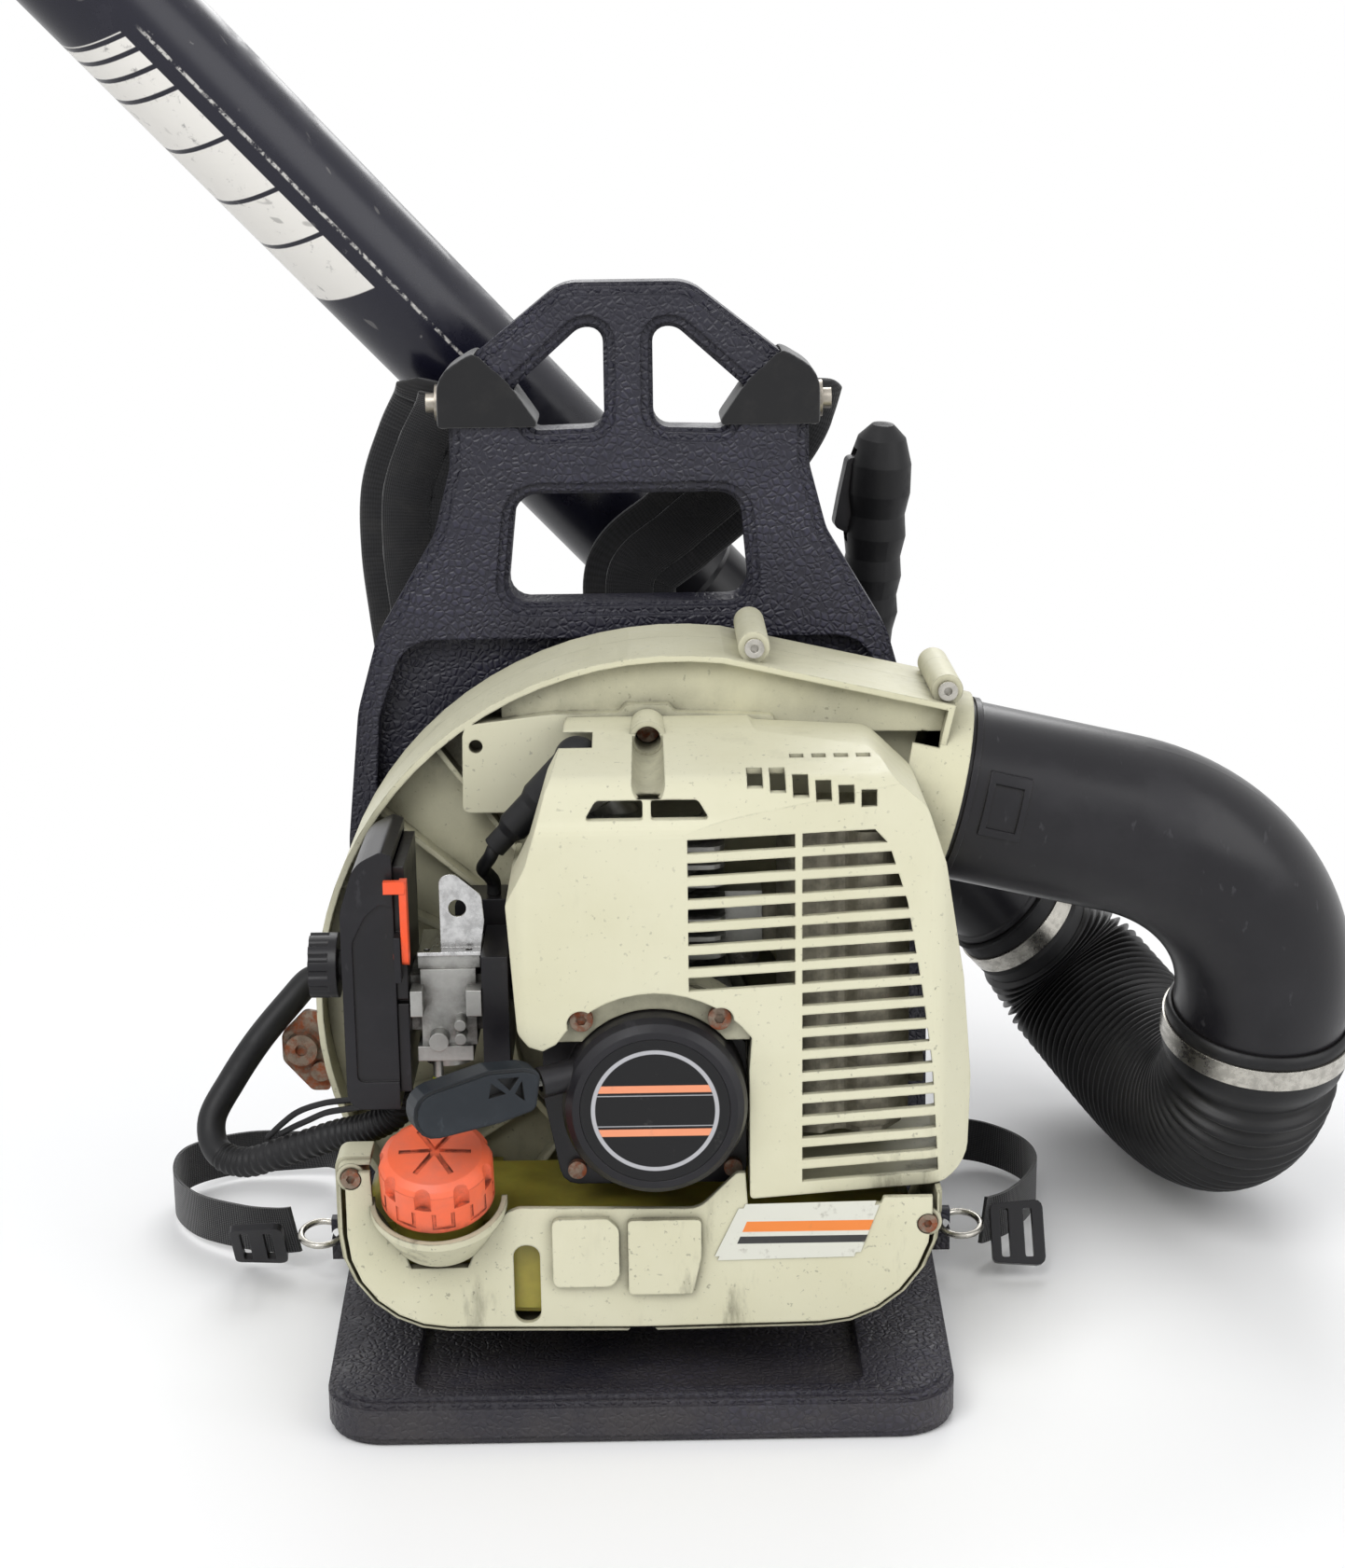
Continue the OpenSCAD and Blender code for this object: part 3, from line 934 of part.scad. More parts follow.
// blower pipe, built along its own axis from the clamp centre
module on_pipe() aim(pipe_c, pipe_d) children();
module hose_cuff() color([0.08, 0.08, 0.09]) on_pipe() rotate_extrude() polygon([[pipe_r + 0.08, -15.9], [36.6, -15.9], [36.6, -9], [35.4, -7], [35.4, 14], [36, 16],
    [pipe_r + 0.08, 16]]);
module pipe_clamp() color([0.72, 0.71, 0.68]) on_pipe() rotate([0, 0, 150]) worm_clamp(35.5, 11);

module swivel_pipe() color([0.08, 0.08, 0.09]) on_pipe() {
    rotate_extrude() polygon([[pipe_r - pipe_wall, -15], [pipe_r, -15], [pipe_r, 17], [pipe_r + 1.6, 17.2], [pipe_r + 1.6, 20], [pipe_r, 21],
        [pipe_r, swivel_len - 40], [pipe_r + 3, swivel_len - 36], [pipe_r + 3, swivel_len], [pipe_r + 0.3, swivel_len],
        [pipe_r + 0.3, swivel_len - 30], [pipe_r - pipe_wall, swivel_len - 36]]);
}
module straight_pipe() color([0.06, 0.07, 0.12]) on_pipe() rotate_extrude() let(a = swivel_len - 28, b = a + straight_len)
    polygon([[pipe_r - pipe_wall, a], [pipe_r, a], [pipe_r, b], [pipe_r - pipe_wall, b]]);
module nozzle_pipe() color([0.08, 0.08, 0.09]) on_pipe() rotate_extrude() let(a = swivel_len - 28 + straight_len, b = a + nozzle_len)
    polygon([[pipe_r + 0.3, a - 28], [pipe_r + 3, a - 28], [pipe_r + 3, a + 4], [pipe_r, a + 8], [26, b - 20], [26, b], [23.6, b], [23.6, b - 20],
        [pipe_r - pipe_wall, a + 6], [pipe_r - pipe_wall, a + 2], [pipe_r + 0.3, a + 0.3]]);

// grip: a split collar on the swivel pipe, a stem and the finger-grooved handle
grip_s = 178;
grip_root = pipe_c + pipe_d * grip_s;
grip_top = [136, 205, 420];
module pipe_grip() color([0.09, 0.09, 0.1]) difference() {
    union() {
        on_pipe() translate([0, 0, grip_s - 16]) tube(36.5, 4.4, 0, 32);
        aim(grip_root + 30 * unit(perp(grip_top - grip_root, pipe_d)), grip_top - grip_root - 30 * unit(perp(grip_top - grip_root, pipe_d)))
            rotate_extrude() polygon([[0, 0], [15, 0], [13.5, 20], [14, 34], [16, 44], [14.6, 54], [16.4, 65], [15, 76], [17, 88], [15.6, 100],
                [17.6, 112], [17, 128], [13, 142], [6, 149], [0, 150]]);
    }
    on_pipe() translate([0, 0, 100]) builtin_rod(200, pipe_r + 0.1);
    on_grip() difference() {
        box([-6, -4, 84], [30, 4, 136]);
        translate([11, 5, 127]) rotate([90, 0, 0]) builtin_rod(10, 1.5);
    }
}

// trigger in a slot of the grip, on the nozzle side
grip_o = grip_root + 30 * unit(perp(grip_top - grip_root, pipe_d));
grip_h = unit(grip_top - grip_o);
grip_u = perp(pipe_d, grip_h);
trigger_c = grip_o + grip_h * 128 + grip_u * 8;
module on_grip() multmatrix([[grip_u[0], cross(grip_h, grip_u)[0], grip_h[0], grip_o[0]],
    [grip_u[1], cross(grip_h, grip_u)[1], grip_h[1], grip_o[1]], [grip_u[2], cross(grip_h, grip_u)[2], grip_h[2], grip_o[2]], [0, 0, 0, 1]])
    children();
module throttle_trigger() color([0.15, 0.15, 0.16]) on_grip() difference() {
    translate([0, 3.6, 0]) rotate([90, 0, 0]) linear_extrude(7.2) polygon(soft([[8, 92, 2], [14, 88, 3], [24, 93, 4],
        [22, 110, 8], [19, 131, 3], [8, 132, 3]], 4));
    translate([11, 5, 127]) rotate([90, 0, 0]) builtin_rod(10, 1.57);
}

// conduit of the throttle wire, its bracket and the stop wires
module throttle_conduit() color([0.12, 0.13, 0.13]) bar(along(conduit_pts, 54), 7.2, 10);
module stop_wires() color([0.06, 0.06, 0.06]) {
    bar(along(wire_a, 24), 1.5, 8);
    bar(along(wire_b, 24), 1.5, 8);
}
module conduit_bracket() color([0.42, 0.25, 0.15]) difference() {
    union() {
        slab(22, 25) polygon(soft([[-176, 126, 6], [-162, 110, 4], [-153.1, 110, 2], [-153.1, 150, 2], [-164, 152, 4], [-176, 140, 6]], 4));
        cyl_y(-166, 133, 16, 22.01, 8);
        cyl_y(-157, 121, 18, 22.01, 5);
    }
    cyl_y(-166, 133, 14, 18, 3);
}

back_frame();
back_pad();
strap_sleeves();
shoulder_strap_left();
shoulder_strap_right();
strap_bolts();
lower_straps();
strap_buckles();
strap_rings();
vibration_mounts();
mount_bolts();
fan_case_front();
fan_case_rear();
fan_case_screws();
intake_grille();
fan();
crankshaft();
crank_bearings();
starter_hub();
crankcase();
engine_cylinder();
spark_plug();
plug_boot();
ignition_lead();
ignition_coil();
muffler();
intake_insulator();
carburetor();
throttle_lever();
cable_bracket();
fuel_line();
air_filter_base();
air_filter_element();
air_filter_cover();
air_filter_knob();
choke_lever();
engine_cover();
cover_screws();
fuel_tank();
tank_guard();
fuel_cap_seal();
fuel_cap();
starter_housing();
starter_disc();
starter_reel();
starter_rope();
starter_handle();
elbow_pipe();
elbow_clamp();
flexible_pipe();
hose_cuff();
pipe_clamp();
swivel_pipe();
pipe_grip();
throttle_trigger();
straight_pipe();
nozzle_pipe();
throttle_conduit();
stop_wires();
conduit_bracket();
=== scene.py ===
"""Backpack leaf blower: finishes, hose, straps, cords and studio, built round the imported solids."""

import math

import bmesh
import bpy
from bpy.props import FloatProperty, FloatVectorProperty, IntProperty, PointerProperty
from mathutils import Matrix, Vector


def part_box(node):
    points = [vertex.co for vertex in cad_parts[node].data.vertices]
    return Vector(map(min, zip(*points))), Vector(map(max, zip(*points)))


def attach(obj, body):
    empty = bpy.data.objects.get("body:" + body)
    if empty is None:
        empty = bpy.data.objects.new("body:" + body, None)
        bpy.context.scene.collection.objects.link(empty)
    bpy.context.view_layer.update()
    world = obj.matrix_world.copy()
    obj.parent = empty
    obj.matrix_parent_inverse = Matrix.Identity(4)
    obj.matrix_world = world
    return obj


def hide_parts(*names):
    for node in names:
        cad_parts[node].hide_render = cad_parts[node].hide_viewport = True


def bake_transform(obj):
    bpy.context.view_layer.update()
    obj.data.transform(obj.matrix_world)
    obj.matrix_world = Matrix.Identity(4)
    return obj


bl_info = {
    "name": "Backpack Leaf Blower",
    "version": (1, 0, 0),
    "blender": (4, 5, 0),
    "location": "View3D > Sidebar > Blower",
    "description": "Dresses the packed leaf blower with finishes, hose, straps and a studio",
    "category": "Object",
}

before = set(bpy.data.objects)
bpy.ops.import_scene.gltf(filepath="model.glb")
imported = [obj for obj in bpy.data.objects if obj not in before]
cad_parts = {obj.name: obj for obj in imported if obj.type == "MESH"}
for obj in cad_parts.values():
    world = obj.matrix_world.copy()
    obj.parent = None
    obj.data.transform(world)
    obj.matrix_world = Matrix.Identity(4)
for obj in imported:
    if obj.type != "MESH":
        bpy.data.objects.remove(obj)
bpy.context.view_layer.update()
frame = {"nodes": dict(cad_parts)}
MM = 0.001


# ---------------------------------------------------------------- settings


def colour(name, words, value):
    """A colour setting, in linear light."""
    return FloatVectorProperty(
        name=name, description=words, subtype="COLOR", size=3, min=0, max=1, default=value
    )


def length(name, words, value):
    """A length setting, in metres."""
    return FloatProperty(name=name, description=words, subtype="DISTANCE", unit="LENGTH", default=value)


class BlowerColours(bpy.types.PropertyGroup):
    """Base colours of the mouldings, fabrics and metals."""

    housing: colour("Housing", "Warm greenish white of the mouldings", (0.655, 0.635, 0.472))
    # This colour also paints the housing's shade in its corners.
    grime_and_shade: colour("Grime", "Oily dust in corners and on lower faces", (0.05, 0.043, 0.026))
    frame: colour("Frame", "Carrying frame", (0.0125, 0.012, 0.0215))
    plastic: colour("Black plastic", "Elbow, starter and air cleaner", (0.009, 0.0085, 0.011))
    pipe: colour("Blower pipe", "Glossy straight pipe", (0.008, 0.008, 0.017))
    rubber: colour("Rubber", "Hose, cuff, boot and grip", (0.007, 0.007, 0.008))
    webbing: colour("Webbing", "Straps and sleeves", (0.008, 0.008, 0.009))
    handle: colour("Starter handle", "Slate grey handle", (0.012, 0.016, 0.021))
    cap: colour("Fuel cap", "Sun-faded red orange", (0.92, 0.155, 0.062))
    choke: colour("Choke lever", "Bright orange lever", (0.95, 0.09, 0.012))
    tank: colour("Fuel tank", "Tank wall with fuel behind it", (0.46, 0.39, 0.06))
    stripe: colour("Stripe", "Salmon stripes of the starter face", (0.80, 0.30, 0.16))
    rust: colour("Rust", "Rust on screws and bracket", (0.13, 0.035, 0.012))
    steel: colour("Plated steel", "Clamps, screws and rings", (0.55, 0.53, 0.48))
    alloy: colour("Cast alloy", "Carburettor, cylinder and crankcase", (0.5, 0.5, 0.48))


class BlowerSizes(bpy.types.PropertyGroup):
    """Sizes that the solids leave to the dressing."""

    hose_ribs: IntProperty(
        name="Hose ribs", description="Ribs of the flexible hose", default=40, min=20, max=60
    )
    rib_crest: length("Rib crest", "Outer radius of a hose rib", 0.045)
    rib_root: length("Rib root", "Radius between two hose ribs", 0.0395)
    strap_width: length("Strap width", "Width of the padded shoulder straps", 0.048)
    webbing_width: length("Webbing width", "Width of the lower straps", 0.024)
    leather_grain: length("Leather grain", "Size of one pebble of the frame's grain", 0.0021)
    edge: length("Moulded edge", "Rounding of moulded edges", 0.0011)
    floor: length("Floor", "Size of the floor", 14.0)


def colours():
    """The blower's colour settings."""
    return bpy.context.scene.blower_colours


def sizes():
    """The blower's size settings."""
    return bpy.context.scene.blower_sizes


# ---------------------------------------------------------------- finishes

# Dust colours. Where ambient occlusion mixes them into pale and metal finishes, they paint shade into
# hollows.
DUST_AND_SHADE = {
    "moulding": (0.045, 0.04, 0.032),
    "rubber": (0.035, 0.032, 0.028),
    "cloth": (0.035, 0.033, 0.03),
    "steel": (0.06, 0.05, 0.035),
    "soot_and_shade": (0.03, 0.026, 0.02),
    "cap": (0.05, 0.02, 0.012),
    "frame": (0.07, 0.065, 0.06),
    "deck": (0.060, 0.052, 0.046),
    "label": (0.16, 0.13, 0.09),
}


class Finish:
    """Node tree of one material, with a short call for each node that a finish needs."""

    def __init__(self, name, **sockets):
        self.material = bpy.data.materials.new(name)
        self.material.use_nodes = True
        self.tree = self.material.node_tree
        self.tree.nodes.clear()
        self.shader = self.tree.nodes.new("ShaderNodeBsdfPrincipled")
        self.output = self.tree.nodes.new("ShaderNodeOutputMaterial")
        self.tree.links.new(self.shader.outputs[0], self.output.inputs["Surface"])
        self.place = self.tree.nodes.new("ShaderNodeTexCoord").outputs["Object"]
        for socket, value in sockets.items():
            self.shader.inputs[socket.replace("_", " ")].default_value = value

    def node(self, kind, inputs=(), **settings):
        """A new node; an input takes a value or the socket that feeds it."""
        made = self.tree.nodes.new("ShaderNode" + kind)
        for key, value in settings.items():
            setattr(made, key, value)
        for key, value in dict(inputs).items():
            if isinstance(value, bpy.types.NodeSocket):
                self.tree.links.new(value, made.inputs[key])
            else:
                made.inputs[key].default_value = value
        return made

    def scaled(self, x, y, z, place=None):
        """Coordinates stretched along each axis."""
        return self.node("Mapping", {"Vector": place or self.place, "Scale": (x, y, z)}).outputs[0]

    def noise(self, scale, detail=4.0, roughness=0.55, place=None):
        """Cloudy pattern, with scale in features per metre."""
        inputs = {"Vector": place or self.place, "Scale": scale, "Detail": detail, "Roughness": roughness}
        return self.node("TexNoise", inputs).outputs["Fac"]

    def cells(self, scale, feature="F1", place=None):
        """Pattern of round cells."""
        inputs = {"Vector": place or self.place, "Scale": scale}
        return self.node("TexVoronoi", inputs, feature=feature).outputs["Distance"]

    def sums(self, operation, a, b=0.0, clamp=False):
        """One operation on two values, held to 0..1 where it is clamped."""
        return self.node("Math", {0: a, 1: b}, operation=operation, use_clamp=clamp).outputs[0]

    def times(self, a, b, clamp=False):
        return self.sums("MULTIPLY", a, b, clamp)

    def plus(self, a, b, clamp=False):
        return self.sums("ADD", a, b, clamp)

    def minus(self, a, b, clamp=False):
        return self.sums("SUBTRACT", a, b, clamp)

    def step(self, value, low, high, a=0.0, b=1.0):
        """Value eased from a to b while it rises from low to high."""
        inputs = {"Value": value, "From Min": low, "From Max": high, "To Min": a, "To Max": b}
        return self.node("MapRange", inputs, interpolation_type="SMOOTHSTEP").outputs[0]

    def between(self, value, low, high, edge):
        """1 between low and high, easing to 0 over the width edge inside both."""
        return self.times(self.step(value, low, low + edge), self.step(value, high, high - edge))

    def mix(self, factor, a, b):
        """Colour a where factor is 0, b where it is 1."""
        made = self.node("Mix", data_type="RGBA")
        for socket, value in ((made.inputs[0], factor), (made.inputs[6], a), (made.inputs[7], b)):
            if isinstance(value, bpy.types.NodeSocket):
                self.tree.links.new(value, socket)
            else:
                socket.default_value = (*value, 1) if socket.type == "RGBA" else value
        return made.outputs[2]

    def corners(self, reach):
        """0 in the open, rising towards 1 in corners."""
        around = self.node("AmbientOcclusion", {"Distance": reach}, samples=6, only_local=False)
        return self.minus(1.0, around.outputs["AO"])

    def axis(self, name, place=None):
        """One coordinate of the place."""
        return self.node("SeparateXYZ", {0: place or self.place}).outputs[name]

    def paint(self, base):
        """Base colour of the finish."""
        self.tree.links.new(base, self.shader.inputs["Base Color"])

    def gloss(self, rough):
        """Roughness of the finish."""
        self.tree.links.new(rough, self.shader.inputs["Roughness"])

    def relief(self, height, depth, strength=1.0, below=None):
        """Bump from a height of 0 to 1 that stands depth metres proud."""
        inputs = {"Height": height, "Distance": depth, "Strength": strength}
        if below is not None:
            inputs["Normal"] = below
        self.tree.links.new(self.node("Bump", inputs).outputs[0], self.shader.inputs["Normal"])

    def eased(self, radius):
        """Normals that ease over sharp edges."""
        return self.node("Bevel", {"Radius": radius}, samples=4).outputs[0]


def tone(base, factor, lift=0.0):
    """A colour made darker or lighter."""
    return tuple(v * factor + lift for v in base)


def housing_finish():
    """Pale moulded plastic: painted shade in corners, oily dust on edges, dirty film, smears and fine specks.
    """
    c = colours()
    pale = tuple(c.housing)
    yellowed = (pale[0] * 0.76, pale[1] * 0.74, pale[2] * 0.60)
    f = Finish("housing", Specular_IOR_Level=0.35)
    patches = f.noise(14, 7, 0.66)
    low = f.step(f.axis("Z"), 0.20, 0.03)
    eased = f.eased(sizes().edge)
    plain = f.node("NewGeometry").outputs["Normal"]
    flat = f.node("VectorMath", {0: eased, 1: plain}, operation="DOT_PRODUCT").outputs["Value"]
    edge = f.times(f.step(flat, 0.999, 0.93), f.step(f.noise(70, 5, 0.7), 0.42, 0.66, 0, 0.42))
    # painted shade: the colour darkens towards grime in corners, from ambient occlusion, added to the oily
    # dust on edges
    corner_shade_and_edge_dirt = f.plus(f.times(f.corners(0.020), 0.82), edge)
    corner_shade_and_edge_dirt = f.times(corner_shade_and_edge_dirt, f.step(patches, 0.30, 0.62, 0.22, 1.5))
    smear = f.step(f.noise(46, 6, 0.68, f.scaled(1, 1, 0.3)), 0.54, 0.73)
    smear = f.times(smear, f.step(f.noise(7, 3), 0.42, 0.62, 0.06, 0.55))
    dirt_and_shade = f.plus(corner_shade_and_edge_dirt, f.times(smear, f.plus(0.26, low)), True)
    film = f.step(f.noise(9, 5, 0.6), 0.36, 0.72, 0, 0.30)
    specks = f.times(f.step(f.noise(430, 2), 0.655, 0.73, 0, 0.6), f.step(patches, 0.40, 0.60, 0.25, 1.0))
    base = f.mix(film, pale, yellowed)
    base = f.mix(specks, base, tone(pale, 0.30))
    f.paint(f.mix(f.times(dirt_and_shade, 0.94, True), base, tuple(c.grime_and_shade)))
    f.gloss(f.step(f.plus(f.times(dirt_and_shade, 0.4), f.noise(180, 3)), 0.3, 1.1, 0.40, 0.7))
    f.relief(f.noise(900, 3), depth=0.00005, strength=0.6, below=eased)
    return f.material


def leather_finish():
    """Black moulding with a pebbled leather grain, dusted and rubbed on its crests."""
    c = colours()
    f = Finish("frame_grain", Specular_IOR_Level=0.42)
    drift = f.node("TexNoise", {"Vector": f.place, "Scale": 90.0, "Detail": 2.0}).outputs["Color"]
    warp = f.node("VectorMath", {0: drift, 1: (0.004, 0.004, 0.004), 2: f.place}, operation="MULTIPLY_ADD")
    grain = f.cells(0.62 / sizes().leather_grain, "DISTANCE_TO_EDGE", warp.outputs[0])
    pebble = f.step(grain, 0.0, 0.28)
    rubbed = f.times(f.times(pebble, f.step(f.noise(9, 6, 0.6), 0.44, 0.66)), 0.55)
    base = f.mix(rubbed, tuple(c.frame), tone(c.frame, 3.2))
    base = f.mix(f.step(f.noise(45, 6, 0.7), 0.62, 0.80, 0, 0.35), base, DUST_AND_SHADE["frame"])
    # the base gathers brown dust on its deck and front edge
    deck = f.times(f.step(f.axis("Z"), 0.030, 0.012), f.step(f.noise(24, 6, 0.7), 0.30, 0.66, 0.25, 1.0))
    f.paint(f.mix(f.times(deck, 0.45), base, DUST_AND_SHADE["deck"]))
    f.gloss(f.step(f.noise(30, 4), 0.3, 0.7, 0.36, 0.56))
    f.relief(pebble, depth=0.00042, strength=0.9, below=f.eased(0.0016))
    return f.material


def moulded_finish(name, base, rough=0.42, dust=0.35, scuffs=0.5):
    """Smooth moulded plastic with dust, hazy patches and fine scratches; corners take a dust colour, which on
    pale mouldings is painted shade.
    """
    f = Finish(name, Specular_IOR_Level=0.32)
    haze = f.step(f.noise(22, 6, 0.65), 0.42, 0.75)
    scratch = f.step(f.noise(160, 3, 0.6, f.scaled(1, 0.12, 0.5)), 0.66, 0.74, 0, scuffs)
    hazy = tuple(min(1, v) for v in tone(base, 2.0, 0.014))
    scratched = tuple(min(1, v) for v in tone(base, 3, 0.04))
    shade = f.mix(f.times(haze, 0.30 * dust / 0.35), tuple(base), hazy)
    shade = f.mix(f.times(scratch, 0.4), shade, scratched)
    # corners mix towards the dust colour: lighter dust on black plastic, painted shade on the pale plug body
    # and grey fan
    f.paint(f.mix(f.times(f.corners(0.012), dust, True), shade, DUST_AND_SHADE["moulding"]))
    f.gloss(f.step(f.plus(haze, scratch), 0.0, 1.6, rough - 0.08, rough + 0.22))
    f.relief(f.noise(700, 4), depth=0.00006, strength=0.5, below=f.eased(0.0008))
    return f.material


def rubber_finish(name, base, rough=0.55):
    """Rubber with a chalky bloom and dust in its hollows, which on the pale fuel tube is painted shade."""
    f = Finish(name, Specular_IOR_Level=0.30)
    bloom = f.step(f.noise(26, 7, 0.66), 0.42, 0.74)
    shade = f.mix(f.times(bloom, 0.35), tuple(base), tone(base, 2.6, 0.012))
    # hollows mix towards the dust colour: lighter dust on black rubber, painted shade on the fuel tube
    f.paint(f.mix(f.times(f.corners(0.01), 0.28), shade, DUST_AND_SHADE["rubber"]))
    f.gloss(f.step(bloom, 0, 1, rough - 0.08, rough + 0.2))
    f.relief(f.noise(520, 4), depth=0.00007, strength=0.6, below=f.eased(0.0007))
    return f.material


def webbing_finish(name, base, pitch=0.0016):
    """Woven nylon: fine ribs across the strap, finer ones along it, painted shade between the threads, fluff
    and sheen.
    """
    f = Finish(name, Roughness=0.8, Specular_IOR_Level=0.25, Sheen_Weight=0.35, Sheen_Roughness=0.5)
    place = f.node("TexCoord").outputs["UV"]
    weft = f.sums("SINE", f.times(f.axis("X", place), math.tau / pitch))
    warp = f.sums("SINE", f.times(f.axis("Y", place), math.tau / (pitch * 0.62)))
    weave = f.plus(f.plus(f.times(weft, 0.3), f.times(warp, 0.2)), 0.5)
    fluff = f.step(f.noise(34, 7, 0.7), 0.45, 0.75)
    # painted shade and highlight: the weave darker between its threads and lighter on them
    shade = f.mix(weave, tone(base, 0.55), tone(base, 1.9))
    f.paint(f.mix(f.times(fluff, 0.45), shade, DUST_AND_SHADE["cloth"]))
    f.relief(weave, depth=0.00035, strength=0.8)
    return f.material


def steel_finish(name, base, rough=0.32, rust=0.0, metal=1.0):
    """Plated or machined steel, brushed, with painted shade in its corners and rust where it is asked for."""
    c = colours()
    f = Finish(name, Metallic=metal)
    streak = f.noise(240, 3, 0.6, f.scaled(1, 0.2, 1))
    spots = f.step(f.noise(150, 6, 0.7), 0.74 - rust * 0.5, 0.86 - rust * 0.4)
    shade = f.mix(f.step(streak, 0.35, 0.7), tuple(base), tone(base, 0.72))
    # painted shade: darker in corners, from ambient occlusion
    shade = f.mix(f.times(f.corners(0.006), 0.6, True), shade, DUST_AND_SHADE["steel"])
    f.paint(f.mix(spots, shade, f.mix(f.noise(420, 4), tuple(c.rust), tone(c.rust, 2.4))))
    if rust > 0:
        f.tree.links.new(f.step(spots, 0, 1, metal, 0.0), f.shader.inputs["Metallic"])
    f.gloss(f.step(f.plus(f.times(spots, 0.7), streak), 0.3, 1.3, rough - 0.08, rough + 0.45))
    pits = f.plus(f.times(f.noise(600, 4), 0.5), f.times(spots, 0.5))
    f.relief(pits, depth=0.0001, strength=0.6, below=f.eased(0.0004))
    return f.material


def alloy_finish():
    """Die-cast alloy: sandy skin, sooty patches and painted shade in its corners."""
    c = colours()
    f = Finish("cast_alloy", Metallic=0.85)
    # painted shade in corners from ambient occlusion, with sooty patches from the noise
    soot_and_shade = f.times(f.plus(f.corners(0.012), 0.12), f.step(f.noise(40, 6, 0.7), 0.3, 0.7, 0.3, 1.6), True)
    shade = f.mix(f.noise(300, 3), tone(c.alloy, 0.8), tuple(c.alloy))
    f.paint(f.mix(f.times(soot_and_shade, 0.85, True), shade, DUST_AND_SHADE["soot_and_shade"]))
    f.gloss(f.step(soot_and_shade, 0, 1, 0.38, 0.68))
    f.relief(f.noise(850, 3), depth=0.00012, strength=0.7, below=f.eased(0.0006))
    return f.material


def pipe_finish():
    """Glossy blue-black tube: long scratches, grey scuffs, a worn white side band cut by slanted gaps."""
    c = colours()
    white, scuffed = (0.72, 0.70, 0.66), (0.042, 0.040, 0.052)
    scratched, nicked = (0.16, 0.155, 0.15), (0.30, 0.29, 0.28)
    f = Finish("pipe_gloss", Specular_IOR_Level=0.40)
    rise = (Vector((0, 0, 1)) - PIPE_WAY * PIPE_WAY.z).normalized()
    off = f.node("VectorMath", {0: f.place, 1: tuple(PIPE_CENTRE)}, operation="SUBTRACT").outputs[0]

    def share(way):
        return f.node("VectorMath", {0: off, 1: tuple(way)}, operation="DOT_PRODUCT").outputs["Value"]

    turn = f.sums("ARCTAN2", share(rise), share(PIPE_WAY.cross(rise)))
    slant = f.minus(share(PIPE_WAY), f.times(turn, BAND_SLANT))
    bars = f.between(slant, *BAND_RUN, 0.0008)
    for gap in BAND_GAPS:
        bars = f.minus(bars, f.between(slant, gap - BAND_GAP / 2, gap + BAND_GAP / 2, 0.0006), True)
    wear = f.step(f.noise(120, 8, 0.74), 0.58, 0.70, 1.0, 0.45)
    flakes = f.step(f.noise(38, 6, 0.7), 0.72, 0.75, 1.0, 0.1)
    band = f.times(f.times(f.between(turn, *BAND_TURN, 0.012), bars), f.times(wear, flakes))
    # worn edge of the clear film that carries the band
    film = f.between(slant, BAND_RUN[0] - FILM_LEAD, BAND_RUN[1], 0.01)
    film = f.times(f.between(turn, *FILM_TURN, 0.02), film)
    band = f.sums("MAXIMUM", band, f.times(film, f.step(f.noise(260, 6, 0.7), 0.42, 0.58, 0, 0.7)))
    scuff = f.step(f.noise(10, 8, 0.7), 0.52, 0.72)
    nicks = f.step(f.noise(90, 4, 0.65), 0.70, 0.76)
    scratch = f.step(f.noise(210, 2, 0.5, f.scaled(0.2, 1, 0.22)), 0.69, 0.73, 0, 0.5)
    shade = f.mix(f.times(scuff, 0.35), tuple(c.pipe), scuffed)
    shade = f.mix(band, shade, white)
    shade = f.mix(scratch, shade, scratched)
    f.paint(f.mix(f.times(nicks, 0.6), shade, nicked))
    f.gloss(f.step(f.plus(scuff, f.times(band, 0.6)), 0, 1, 0.26, 0.5))
    f.relief(f.noise(60, 5), depth=0.00015, strength=0.5, below=f.eased(0.0008))
    return f.material


def tank_finish():
    """Fuel-stained tank wall, slightly see-through to light."""
    c = colours()
    f = Finish("tank_wall", Roughness=0.42, Subsurface_Weight=0.25, Subsurface_Scale=0.004)
    f.paint(f.mix(f.step(f.noise(18, 6), 0.35, 0.7), tuple(c.tank), tone(c.tank, 0.45)))
    f.relief(f.noise(400, 3), depth=0.0001, strength=0.5)
    return f.material


def cap_finish(name, base):
    """Orange moulding with black dust in its flutes."""
    f = Finish(name, Specular_IOR_Level=0.4)
    dust = f.times(f.plus(f.corners(0.008), 0.04), f.step(f.noise(120, 6, 0.7), 0.3, 0.7, 0.3, 2.0), True)
    faded = tuple(min(1, v) for v in tone(base, 0.8, 0.05))
    shade = f.mix(f.step(f.noise(30, 5), 0.4, 0.7), tuple(base), faded)
    f.paint(f.mix(f.times(dust, 0.85), shade, DUST_AND_SHADE["cap"]))
    f.gloss(f.step(dust, 0, 1, 0.42, 0.7))
    f.relief(f.noise(600, 4), depth=0.0001, strength=0.6, below=f.eased(0.0007))
    return f.material


def foam_finish():
    """Open-cell foam, with painted shade in its pores."""
    f = Finish("foam", Roughness=0.95)
    pores = f.cells(900)
    # painted shade: the pores darker at their middles
    f.paint(f.mix(pores, (0.01, 0.01, 0.014), (0.07, 0.07, 0.09)))
    f.relief(pores, depth=0.0008)
    return f.material


